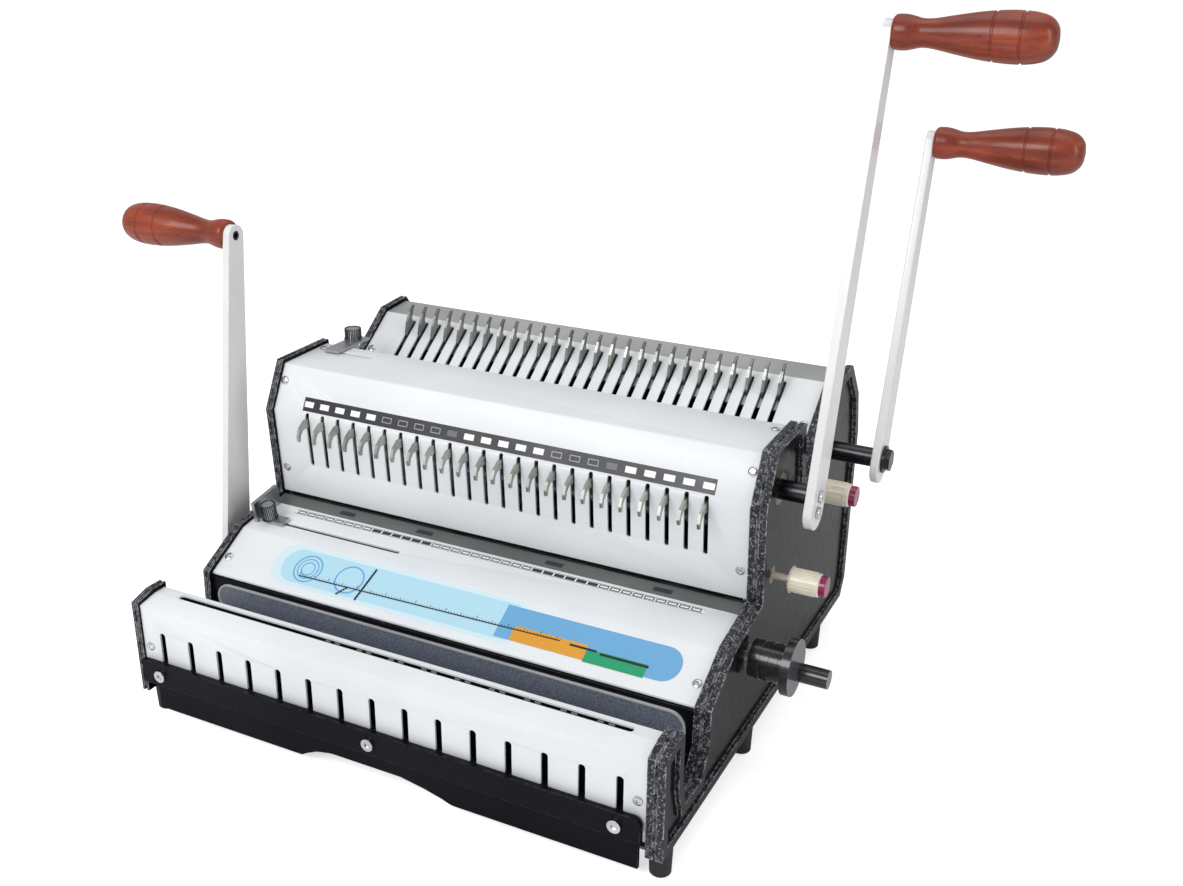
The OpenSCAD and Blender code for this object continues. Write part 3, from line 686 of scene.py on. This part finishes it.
# side covers
def makeCovers():
    cover = {"leftEdge": 0.0003, "rightEdge": 0.0007, "flat": 0.97}
    for side in ("left", "right"):
        name = "side_cover_" + side
        piece = workingCopy(name, side + "SideCover")
        pickSharp(piece, 50, lambda a, b: abs(a.x - b.x) < sameX)
        roundPicked(cover[side + "Edge"], 2)
        smoothShade(piece, 30)
        finishPiece(piece, "frame", ["pebbleBlack", "glossBlack"], [name])
        paintFaces(piece, 1, lambda normal, middle: abs(normal.x) > cover["flat"])
        print("side cover:", side)


# painted sheet panels
def makePanels():
    panel = {"slotGap": 0.006, "edge": 0.0003, "bend": 0.0013, "thin": 0.0014, "thick": 0.0019}
    slotRounds = {
        "closer_cover": 0.0023,
        "comb_tower_cover": 0.0015,
        "rear_tower_cover": 0.0019,
        "deck_panel": 0.0013,
    }
    limit = machine["panelHalf"] - panel["slotGap"]

    def inside(point):
        return abs(point.x + machine["middleX"]) < limit

    def slotCorner(a, b):
        throughSheet = panel["thin"] < (a - b).length < panel["thick"]
        return throughSheet and inside(a) and abs(a.x - b.x) < sameX

    def slotRim(a, b):
        return inside(a) and inside(b)

    for name, radius in slotRounds.items():
        piece = workingCopy(name, titled(name))
        pickSharp(piece, 40, slotCorner)
        roundPicked(radius, 5)
        if name != "rear_tower_cover":
            pickSharp(piece, 8, longLine)
            roundPicked(panel["bend"], 3)
        pickSharp(piece, 60, slotRim)
        roundPicked(panel["edge"], 2)
        smoothShade(piece, 36, False)
        finishPiece(piece, "frame", ["powderWhite"], [name])
        print("panel:", name, len(piece.data.polygons))


def makeDarkPanels():
    panels = {
        "front_panel": {"finish": "blackEnamel", "slot": "black_paint", "fold": 0.0008},
        "rear_cover": {"finish": "blackEnamel", "slot": "black_paint", "fold": 0.003},
        "rear_top_plate": {"finish": "plateGrey", "slot": "grey_paint", "fold": 0.0006},
        "throat_plate": {"finish": "bandGrey", "slot": "grey_paint", "fold": 0.0004},
        "wire_channel": {"finish": "blackEnamel", "slot": "black_paint", "fold": 0.0003},
    }
    edge = 0.0003
    for name, look in panels.items():
        piece = workingCopy(name, titled(name))
        pickSharp(piece, 10, longLine)
        roundPicked(look["fold"], 3)
        softenEdges(piece, edge, 2)
        smoothShade(piece)
        finishPiece(piece, "frame", [look["finish"]], [name])
    pad = {"rim": 0.0013, "step": 0.0004, "facing": -0.9, "level": 0.0001}
    piece = workingCopy("front_pad", "FrontPad")
    pickFaces(piece, lambda face: face.normal.y < pad["facing"])
    bpy.ops.mesh.inset(thickness=pad["rim"], depth=0)
    bpy.ops.mesh.inset(thickness=pad["step"], depth=-pad["step"])
    leaveEdit()
    front = [face.center.y for face in piece.data.polygons if face.normal.y < pad["facing"]]
    sunk = max(front) - pad["level"]
    softenEdges(piece, edge, 2)
    smoothShade(piece)
    finishPiece(piece, "frame", ["plateGrey", "padGrey"], ["front_pad"])
    paintFaces(piece, 1, lambda normal, middle: normal.y < pad["facing"] and middle.y > sunk)
    print("dark panels")


# closing bar, its screws and the chip drawer
def makeFront():
    bar = {"endRound": 0.006, "edge": 0.0011, "topZ": 0.0485, "endGap": 0.0015, "long": 0.1}
    piece = workingCopy("closing_bar", "ClosingBar")
    rightEnd = machine["panelHalf"] - bar["endGap"] - machine["middleX"]
    pickSharp(piece, 60, lambda a, b: alongY(a, b) and a.z > bar["topZ"] and abs(a.x - rightEnd) < 0.001)
    roundPicked(bar["endRound"], 5)
    pickSharp(piece, 60, lambda a, b: alongX(a, b) and (a - b).length > bar["long"])
    roundPicked(bar["edge"], 3)
    softenEdges(piece, 0.0003, 2)
    smoothShade(piece)
    finishPiece(piece, "closer", ["blackEnamel"], ["closing_bar"])
    softPiece("closing_bar_screws", {
        "body": "closer", "slot": "bright_screw", "finish": ["brightScrew"],
        "edge": 0.0006, "steps": 3, "angle": 50, "shade": 30})
    tray = {"wall": 0.0055, "round": 0.0035, "edge": 0.0006, "archHalf": 0.15}
    drawer = workingCopy("chip_drawer", "ChipDrawer")
    arch = machine["frontY"] - machine["slitY"] + tray["wall"]
    pickSharp(drawer, 6, lambda a, b: alongY(a, b) and max(a.y, b.y) < arch and abs(a.x) < tray["archHalf"])
    roundPicked(tray["round"], 4)
    softenEdges(drawer, tray["edge"], 2)
    smoothShade(drawer)
    finishPiece(drawer, "drawer", ["blackEnamel"], ["chip_drawer"])
    print("front pieces")


# hooks and fingers
def makeHooks():
    rows = {
        "comb_hooks": {"body": "comb_opener", "slot": "hook_steel", "finish": "hookSteel", "curve": 0.0012},
        "rear_fingers": {"body": "rear_opener", "slot": "finger_steel", "finish": "fingerSteel",
                         "curve": 0.001},
    }
    hook = {"width": 0.0035, "edge": 0.00022}
    for name, look in rows.items():
        piece = workingCopy(name, titled(name))
        pickSharp(piece, 14, lambda a, b: alongX(a, b) and (a - b).length < hook["width"])
        roundPicked(look["curve"], 3)
        softenEdges(piece, hook["edge"], 2, 50)
        smoothShade(piece, 30)
        finishPiece(piece, look["body"], [look["finish"]], [name])
    print("hooks and fingers")


# turned work: a filled circle extruded ring by ring
def turnPiece(pieceName, profile, segments=48):
    # profile is a list of (radius, height); the first radius is the start circle
    clearSelection()
    radius, height = profile[0]
    bpy.ops.mesh.primitive_circle_add(
        vertices=segments, radius=radius, fill_type="NGON", location=(0, 0, height))
    piece = bpy.context.object
    piece.name = pieceName
    applyPlace(piece)
    editAllFaces()
    for nextRadius, nextHeight in profile[1:]:
        bpy.ops.mesh.extrude_region_move(TRANSFORM_OT_translate={"value": (0, 0, nextHeight - height)})
        k = nextRadius / radius
        bpy.ops.transform.resize(value=(k, k, 1), center_override=(0, 0, nextHeight))
        radius, height = nextRadius, nextHeight
    closeShell()
    return piece


def smoothProfile(points, steps):
    # a curve through the given points
    result = []
    last = len(points) - 1
    for i in range(last):
        p0, p1, p2, p3 = (points[min(max(i + k, 0), last)] for k in (-1, 0, 1, 2))
        for step in range(steps):
            t = step / steps
            value = []
            for axis in (0, 1):
                a = 2 * p1[axis]
                b = p2[axis] - p0[axis]
                c = 2 * p0[axis] - 5 * p1[axis] + 4 * p2[axis] - p3[axis]
                d = 3 * p1[axis] - p0[axis] - 3 * p2[axis] + p3[axis]
                value.append(0.5 * (a + b * t + c * t * t + d * t * t * t))
            result.append(tuple(value))
    result.append(points[-1])
    return result


def cutGrooves(profile, centres, width, depth):
    # drops the profile's own points inside each groove and adds the groove's four
    kept = [p for p in profile if all(abs(p[1] - centre) > width / 2 for centre in centres)]
    for centre in centres:
        for offset, part in ((-0.5, 0), (-0.18, 1), (0.18, 1), (0.5, 0)):
            at = centre + offset * width
            before = [p for p in profile if p[1] <= at][-1]
            after = [p for p in profile if p[1] > at][0]
            mix = (at - before[1]) / (after[1] - before[1])
            kept.append((before[0] + (after[0] - before[0]) * mix - depth * part, at))
    return sorted(kept, key=lambda p: p[1])


levers = {
    "front": {"x": 0.22575, "at": (0.028, 0.187), "length": 0.3, "lean": 16, "way": 1},
    "rear": {"x": 0.24175, "at": (0.133, 0.178), "length": 0.227, "lean": 16, "way": 1},
    "left": {"x": -0.21475, "at": (-0.04, 0.055), "length": 0.266, "lean": 7, "way": -1},
}
leverThickness = 0.006
quarterTurn = math.radians(90)


def leverFrame(lever, x, up):
    place = Matrix.Translation(spot(x, *lever["at"])) @ Matrix.Rotation(-math.radians(lever["lean"]), 4, "X")
    return place @ Matrix.Translation((0, 0, up)) @ Matrix.Rotation(quarterTurn * lever["way"], 4, "Y")


def makeLevers():
    wood = {"radius": 0.016, "length": 0.1, "skin": 0.00002, "grooves": (0.062, 0.079),
            "grooveWidth": 0.0022, "grooveDepth": 0.0007}
    # share of the radius, and percent of the length
    shares = [(0.6, 0.0), (0.685, 2.0), (0.69, 8), (0.63, 13), (0.56, 18), (0.58, 25), (0.73, 38), (0.88, 52),
              (0.97, 65), (0.995, 76), (0.95, 86), (0.8, 94), (0.5, 98.6), (0.2, 99.8), (0.02, 100)]
    curve = smoothProfile([(wood["radius"] * share, wood["length"] * at / 100) for share, at in shares], 4)
    limits = (wood["radius"] - wood["skin"], wood["length"] - wood["skin"])
    curve = [(min(r, limits[0]), min(h, limits[1])) for r, h in curve]
    curve = cutGrooves(curve, wood["grooves"], wood["grooveWidth"], wood["grooveDepth"])
    turned = turnPiece("TurnedGrip", curve, 56)
    smoothShade(turned, 30, False)
    for side, lever in levers.items():
        body = side + "_lever"
        softPiece(side + "_lever_bar", {
            "piece": side + "LeverBar", "body": body, "slot": "lever_paint", "finish": ["leverEnamel"],
            "edge": 0.0013, "steps": 3})
        start = lever["x"] + leverThickness * lever["way"]
        grip = placedCopy(turned, side + "LeverGrip", leverFrame(lever, start, lever["length"]))
        finishPiece(grip, body, ["gripWood"], [side + "_lever_grip"])
        softPiece(side + "_grip_bolt", {
            "piece": side + "GripBolt", "body": body, "slot": "dark_bolt", "finish": ["blackSteel"],
            "edge": 0.0005, "angle": 50, "shade": 30})
    deletePiece(turned)
    softPiece("front_lever_screws", {
        "body": "front_lever", "slot": "bright_screw", "finish": ["brightScrew"],
        "edge": 0.0007, "steps": 3, "angle": 50, "shade": 30})
    softPiece("rear_lever_nut", {
        "body": "rear_lever", "slot": "dark_bolt", "finish": ["blackSteel"],
        "edge": 0.0009, "steps": 3, "angle": 40, "shade": 30})
    print("levers")


# screw heads on the panels
def makeScrews():
    head = {"radius": 0.0032, "rim": 0.0006, "dome": 0.0014, "socket": 0.0013, "depth": 0.0009}
    profile = [
        (head["radius"] * 0.9, 0.0),
        (head["radius"], head["rim"]),
        (head["radius"] * 0.97, head["rim"] * 1.5),
        (head["radius"] * 0.85, head["dome"] * 0.8),
        (head["radius"] * 0.66, head["dome"]),
        (head["socket"], head["dome"]),
        (head["socket"] * 0.92, head["dome"] - head["depth"]),
        (head["socket"] * 0.3, head["dome"] - head["depth"] * 1.1)]
    model = turnPiece("ScrewModel", profile, 24)
    smoothShade(model, 35, False)
    # face, distance in from the panel's end, way up the face, lift
    rows = [("face", 0.006, 0.024, 0), ("upper", 0.004, 0.024, 0), ("slope", 0.005, 0.0154, 0),
            ("top", 0.006, 0.054, -0.0003), ("rear", 0.005, -0.04, 0), ("front", 0.006, 0.058, 0)]
    number = 0
    for side in (-1, 1):
        for face, inset, up, lift in rows:
            number += 1
            place = Matrix.Translation((side * (machine["panelHalf"] - inset), up, lift))
            screw = placedCopy(model, "PanelScrew_%02d" % number, faces[face] @ place)
            finishPiece(screw, "frame", ["brightScrew"], ["cover_screws"])
    deletePiece(model)
    print("panel screws:", number)


# knob, dials and feet
def makeControls():
    outer = machine["panelHalf"] + machine["rightCover"] - machine["middleX"]
    disc = {"from": 0.028, "to": 0.034, "facing": 0.9}
    knob = softPiece("size_knob", {
        "body": "knob", "slot": "knob_plastic", "finish": ["knobBlack", "knobFace"],
        "edge": 0.0012, "steps": 3})
    low = outer + disc["from"]
    high = outer + disc["to"]
    # the disc face gets the dark blue-grey with its painted sheen
    paintFaces(knob, 1, lambda normal, middle: normal.x > disc["facing"] and low < middle.x < high)
    redCap = outer + 0.0315
    for name in ("front_dial", "rear_dial"):
        dial = softPiece(name, {
            "body": name, "slot": "dial_plastic", "finish": ["dialCream", "dialRed"],
            "edge": 0.0008, "steps": 3})
        paintFaces(dial, 1, lambda normal, middle: middle.x > redCap)
    softPiece("feet", {
        "piece": "RubberFeet", "body": "frame", "slot": "foot_rubber", "finish": ["footRubber"],
        "edge": 0.0006})
    print("controls and feet")


def knurledKnob(radius, height, ridges):
    # depths as shares of the radius
    knurl = {"side": 0.012, "sink": 0.07, "rim": 0.2, "slope": 0.06, "dish": 0.1, "edge": 0.0001}
    clearSelection()
    bpy.ops.mesh.primitive_cylinder_add(
        vertices=ridges * 2, radius=radius, depth=height, location=(0, 0, height / 2))
    knob = bpy.context.object
    knob.name = "KnurlModel"
    applyPlace(knob)
    polygons = knob.data.polygons
    sides = [polygon.index for polygon in polygons if abs(polygon.normal.z) < 0.5]
    sides.sort(key=lambda i: math.atan2(polygons[i].center.y, polygons[i].center.x))
    sunk = set(sides[::2])
    pickFaces(knob, lambda face: face.index in sunk)
    bpy.ops.mesh.inset(
        thickness=radius * knurl["side"], depth=-radius * knurl["sink"], use_individual=True)
    leaveEdit()
    pickFaces(knob, lambda face: face.normal.z > 0.9)
    bpy.ops.mesh.inset(thickness=radius * knurl["rim"], depth=0)
    bpy.ops.mesh.inset(thickness=radius * knurl["slope"], depth=-radius * knurl["dish"])
    leaveEdit()
    softenEdges(knob, knurl["edge"], 1, 50)
    smoothShade(knob, 30, False)
    return knob


def placeKnurled(pieceName, look):
    model = knurledKnob(look["radius"], look["height"], look["ridges"])
    piece = placedCopy(model, pieceName, look["place"])
    finishPiece(piece, look["body"], [look["finish"]])
    deletePiece(model)


def sideways(x, y, z):
    # a frame on the right cover whose Z points out along X
    return Matrix.Translation(spot(x, y, z)) @ Matrix.Rotation(quarterTurn, 4, "Y")


def makeDialSleeves():
    outer = machine["panelHalf"] + machine["rightCover"]
    sleeve = {"radius": 0.0086, "height": 0.017, "ridges": 20, "slot": "dial_plastic",
              "finish": "dialCream", "out": 0.0115}
    for name, y, z in (("front", 0.022, 0.125), ("rear", 0.081, 0.168)):
        place = sideways(outer + sleeve["out"], y, z)
        placeKnurled(name.capitalize() + "DialSleeve", {**sleeve, "body": name + "_dial", "place": place})
    band = {"profile": [(0.0125, 0.0), (0.0133, 0.0006), (0.0133, 0.0034), (0.0125, 0.004)],
            "out": 0.005, "step": 0.0062, "y": -0.02, "z": 0.084}
    model = turnPiece("HubBandModel", band["profile"])
    smoothShade(model, 35, False)
    for number in range(3):
        place = sideways(outer + band["out"] + band["step"] * number, band["y"], band["z"])
        piece = placedCopy(model, "KnobBand_%d" % (number + 1), place)
        finishPiece(piece, "knob", ["knobBlack"])
    deletePiece(model)
    print("dial sleeves and knob bands")


def makeGuides():
    for name in ("edge_guide", "rear_edge_guide"):
        softPiece(name, {
            "body": name, "slot": "plain_steel", "finish": ["zincSteel"],
            "edge": 0.0004})
    x = 0.015 - machine["panelHalf"]
    placeKnurled("EdgeGuideKnob", {
        "body": "edge_guide", "radius": 0.0058, "height": 0.0123, "ridges": 24, "slot": "plain_steel",
        "finish": "blackSteel", "place": faces["deck"] @ Matrix.Translation((x, 0.0153, 0.003))})
    placeKnurled("RearGuideKnob", {
        "body": "rear_edge_guide", "radius": 0.0068, "height": 0.0083, "ridges": 28, "slot": "plain_steel",
        "finish": "blackSteel", "place": faces["top"] @ Matrix.Translation((x, 0.081, 0.0026))})
    print("guides")


makeCovers()
makePanels()
makeDarkPanels()
makeFront()
makeHooks()
makeLevers()
makeScrews()
makeControls()
makeDialSleeves()
makeGuides()


# printed marks: thin films lying on a face
inkThick = 0.0001


def raiseFilm(thickness):
    bpy.ops.mesh.select_all(action="SELECT")
    bpy.ops.mesh.extrude_region_move(TRANSFORM_OT_translate={"value": (0, 0, thickness)})
    closeShell()


def printFilm(pieceName, face, cells, lift, finish, thickness=inkThick, replaced=()):
    # cells are (x0, x1, y0, y1, line): line 0 is a filled cell, else the width of its outline
    clearSelection()
    film = None
    for x0, x1, y0, y1, line in cells:
        middle = ((x0 + x1) / 2, (y0 + y1) / 2, lift)
        bpy.ops.mesh.primitive_plane_add(size=1, location=middle)
        if film is None:
            film = bpy.context.object
            film.name = pieceName
            applyPlace(film)
            editAllFaces()
        bpy.ops.transform.resize(value=(x1 - x0, y1 - y0, 1), center_override=middle)
        if line:
            bpy.ops.mesh.inset(thickness=line, depth=0)
            bpy.ops.mesh.delete(type="FACE")
    raiseFilm(thickness)
    film.matrix_world = faces[face]
    return finishPiece(film, "frame", [finish], replaced)


def shadeMarks():
    # tower top strip: runs of comb sizes, one mark for each slot (w white, o outlined, d dim)
    comb = {"low": 0.0068, "high": 0.0112, "half": 0.0041, "line": 0.0006, "from": 0.0036, "to": 0.0144,
            "short": 0.002}
    tints = {"w": "inkWhite", "o": "inkPale", "d": "inkGrey"}
    groups = {kind: [] for kind in tints}
    for number, kind in enumerate("wwwwwoooodwwwwwooodwwwww"):
        x = (number - (machine["combCount"] - 1) / 2) * machine["combPitch"]
        line = comb["line"] if kind == "o" else 0
        groups[kind].append((x - comb["half"], x + comb["half"], comb["low"], comb["high"], line))
    base = machine["combCount"] * machine["combPitch"] / 2 - comb["short"]
    baseCell = (-base, base, comb["from"], comb["to"], 0)
    printFilm("CombStripBase", "upper", [baseCell], 0.0, "inkBlack", replaced=["comb_size_strip"])
    for kind, cells in groups.items():
        printFilm("CombStrip_" + kind, "upper", cells, inkThick, tints[kind])

    # hole pattern strip on the deck: (start, end, outlined)
    hole = {"step": 0.0088, "gap": 0.0006, "low": 0.0309, "high": 0.0343, "line": 0.0008, "base": 0.00015}
    runs = [(-0.168, -0.098, True), (-0.098, -0.045, False), (-0.045, 0.04, True), (0.04, 0.093, False),
            (0.093, 0.171, True)]
    cells = []
    for start, end, outlined in runs:
        count = round((end - start) / hole["step"])
        step = (end - start) / count
        line = hole["line"] if outlined else 0
        for number in range(count):
            x = start + step * number
            cells.append((x + hole["gap"], x + step - hole["gap"], hole["low"], hole["high"], line))
    half = machine["panelHalf"]
    baseCell = (-half + 0.019, half - 0.024, 0.03, 0.035, 0)
    printFilm("HoleStripBase", "deck", [baseCell], 0.0, "inkWhite", hole["base"], ["hole_pattern_strip"])
    printFilm("HoleStripCells", "deck", cells, hole["base"], "inkBlack")
    rails = [(-0.17, 0.172, low, low + 0.0004, 0) for low in (0.03, 0.0348)]
    printFilm("HoleStripRails", "deck", rails, hole["base"], "inkGrey")
    print("strips")


def flatRing(pieceName, radius, wide):
    clearSelection()
    bpy.ops.mesh.primitive_circle_add(vertices=48, radius=radius, fill_type="NGON", location=(0, 0, 0))
    ring = bpy.context.object
    ring.name = pieceName
    editAllFaces()
    bpy.ops.mesh.inset(thickness=wide, depth=0)
    bpy.ops.mesh.delete(type="FACE")
    raiseFilm(inkThick)
    return ring


def gaugeMarks():
    # rounded fields: cell, lift, thickness, finish, replaced node, corner radius, and where corners round
    fields = {
        "GaugeMist": {"cell": (-0.152, 0.056, 0.0055, 0.041, 0), "lift": 0.0, "thick": 0.00005,
                      "finish": "inkMist", "replaced": ["gauge_label"], "round": 0.0165,
                      "corner": lambda a: a.x < 0},
        "GaugeSky": {"cell": (-0.144, 0.052, 0.009, 0.0375, 0), "lift": 0.00005, "thick": 0.00005,
                     "finish": "inkSky", "round": 0.0135, "corner": lambda a: a.x < 0},
        "GaugeBlue": {"cell": (0.043, 0.177, 0.01, 0.036, 0), "lift": inkThick, "thick": inkThick,
                      "finish": "inkBlue", "round": 0.0125, "corner": lambda a: a.x > 0.1},
    }
    for name, look in fields.items():
        field = printFilm(
            name, "slope", [look["cell"]], look["lift"], look["finish"], look["thick"],
            look.get("replaced", ()))
        pickSharp(field, 60, lambda a, b: (a - b).length < inkThick * 2 and look["corner"](a))
        roundPicked(look["round"], 10)

    # coil and loop drawn as flat rings: name, shift, radius, width
    rings = (("GaugeCoil_0", 0.0, 0.0118, 0.0012), ("GaugeLoop_0", 0.037, 0.0118, 0.0012),
             ("GaugeCoil_1", 0.0, 0.0088, 0.0009), ("GaugeCoil_2", 0.0, 0.0058, 0.0009))
    for name, shift, radius, wide in rings:
        ring = flatRing(name, radius, wide)
        ring.matrix_world = faces["slope"] @ Matrix.Translation((shift - 0.121, 0.0225, inkThick))
        finishPiece(ring, "frame", ["inkBlue"])
    blocks = {"Orange": (0.055, 0.111, 0.01, 0.0215, 0), "Green": (0.111, 0.155, 0.009, 0.019, 0)}
    for name, cell in blocks.items():
        printFilm("Gauge" + name, "slope", [cell], inkThick * 2, "ink" + name)

    # a sloping scale line with long, middle and short ticks
    gauge = {"wide": 0.0003, "count": 86, "from": -0.1246, "to": 0.09, "low": 0.0154, "high": 0.0193,
             "long": 0.0034, "middle": 0.0024, "short": 0.0015, "line": 0.0004, "lap": 0.0001}
    ticks = []
    for number in range(gauge["count"] + 1):
        part = number / gauge["count"]
        x = gauge["from"] + (gauge["to"] - gauge["from"]) * part
        y = gauge["low"] + (gauge["high"] - gauge["low"]) * part
        size = "long" if number % 10 == 0 else ("middle" if number % 5 == 0 else "short")
        ticks.append((x, x + gauge["wide"], y, y + gauge[size], 0))
        if number:
            ticks.append((lastX, x + gauge["lap"], lastY - gauge["line"], y + gauge["line"], 0))
        lastX, lastY = x, y
    printFilm("GaugeTicks", "slope", ticks, inkThick * 3, "inkBlack")

    # two stepped pointers: start, step and count
    pointer = {"wide": 0.0014, "overlap": 0.0002}
    cells = [(0.121, 0.156, 0.0165, 0.0182, 0), (0.098, 0.118, 0.0178, 0.0193, 0)]
    for startX, startY, stepX, stepY, count in (
            (-0.0715, 0.008, 0.00035, 0.0028, 10), (-0.088, 0.0085, 0.0012, 0.0015, 5)):
        for k in range(count):
            x = startX + stepX * k
            y = startY + stepY * k
            cells.append((x, x + pointer["wide"], y, y + stepY + pointer["overlap"], 0))
    printFilm("GaugePointers", "slope", cells, inkThick * 4, "inkBlack")

    mark = {"half": 0.007, "low": 0.042, "high": 0.0465, "lift": -0.0002}
    cells = [(x - mark["half"], x + mark["half"], mark["low"], mark["high"], 0)
             for x in (-0.129, -0.058, 0.052, 0.137)]
    printFilm("ThroatMarks", "deck", cells, mark["lift"], "inkBlack")

    dash = {"long": 0.004, "second": 0.0075, "low": -0.0034, "high": -0.0021, "wall": 0.0213}
    cells = []
    for group in range(-2, 7):
        for shift in (0, dash["second"]):
            x = group * machine["wirePitch"] + shift
            cells.append((x, x + dash["long"], dash["low"], dash["high"], 0))
    faces["wall"] = faceFrame(machine["frontY"] + dash["wall"], machine["closerHeight"], 0, True)
    printFilm("WireTicks", "wall", cells, 0.0, "inkPale")
    print("gauge marks")


shadeMarks()
gaugeMarks()


# floor, light and camera
def setStage():
    clearSelection()
    bpy.ops.mesh.primitive_plane_add(size=90, location=(0, 0, 0))
    floor = bpy.context.object
    floor.name = "StudioFloor"
    material, tree, shader = newMaterial("studioFloor")
    grain = placeGroup(tree, grainGroup, Scale=6.0, Detail=3.0)
    tone = mixColours(tree, grain.outputs["Value"], (0.9, 0.9, 0.9), (0.93, 0.93, 0.93))
    rough = spreadValue(tree, grain.outputs["Value"], 0.65, 0.75)
    seen = addNode(tree, "LightPath")
    glow = spreadValue(tree, seen.outputs["Is Camera Ray"], 0.0, 0.62)
    shader.inputs["Emission Color"].default_value = (1.0, 1.0, 1.0, 1.0)
    tree.links.new(tone, shader.inputs["Base Color"])
    tree.links.new(rough, shader.inputs["Roughness"])
    tree.links.new(glow, shader.inputs["Emission Strength"])
    floor.data.materials.append(material)

    world = bpy.data.worlds.new("studioWorld")
    scene.world = world
    world.use_nodes = True
    background = world.node_tree.nodes["Background"]
    background.inputs["Color"].default_value = (0.97, 0.985, 1.0, 1.0)
    background.inputs["Strength"].default_value = 0.5

    lamps = {
        "keyPanel": {"at": (-0.5, -1.8, 1.5), "size": (1.5, 1.0), "power": 30},
        "sidePanel": {"at": (2.0, -0.4, 0.9), "size": (0.5, 1.6), "power": 9},
        "topPanel": {"at": (0.1, 0.3, 2.2), "size": (1.8, 1.2), "power": 8},
    }
    target = Vector((0, 0, 0.12))
    for name, lamp in lamps.items():
        data = bpy.data.lights.new(name, "AREA")
        data.shape = "RECTANGLE"
        data.size, data.size_y = lamp["size"]
        data.energy = lamp["power"]
        light = bpy.data.objects.new(name, data)
        scene.collection.objects.link(light)
        light.location = lamp["at"]
        light.rotation_euler = (target - light.location).to_track_quat("-Z", "Y").to_euler()


def setCamera():
    view = {"azimuth": 26.195, "height": 22.083, "roll": 0.646, "lens": 39.2456, "sensor": 36,
            "near": 0.01, "at": (0.425579, -0.758459, 0.538788)}
    azimuth = math.radians(view["azimuth"])
    height = math.radians(view["height"])
    roll = math.radians(view["roll"])
    level = Vector((-math.sin(azimuth), math.cos(azimuth), 0)) * math.cos(height)
    forward = level - Vector((0, 0, math.sin(height)))
    right = forward.cross(Vector((0, 0, 1))).normalized()
    up = right.cross(forward)
    across = right * math.cos(roll) + up * math.sin(roll)
    upright = up * math.cos(roll) - right * math.sin(roll)
    data = bpy.data.cameras.new("frontCamera")
    data.lens = view["lens"]
    data.sensor_width = view["sensor"]
    data.sensor_fit = "HORIZONTAL"
    data.clip_start = view["near"]
    camera = bpy.data.objects.new("frontCamera", data)
    scene.collection.objects.link(camera)
    turned = Matrix((across, upright, -forward)).transposed().to_4x4()
    camera.matrix_world = Matrix.Translation(view["at"]) @ turned
    scene.camera = camera
    scene.view_settings.view_transform = "Standard"


setStage()
setCamera()
print("stage and camera set")
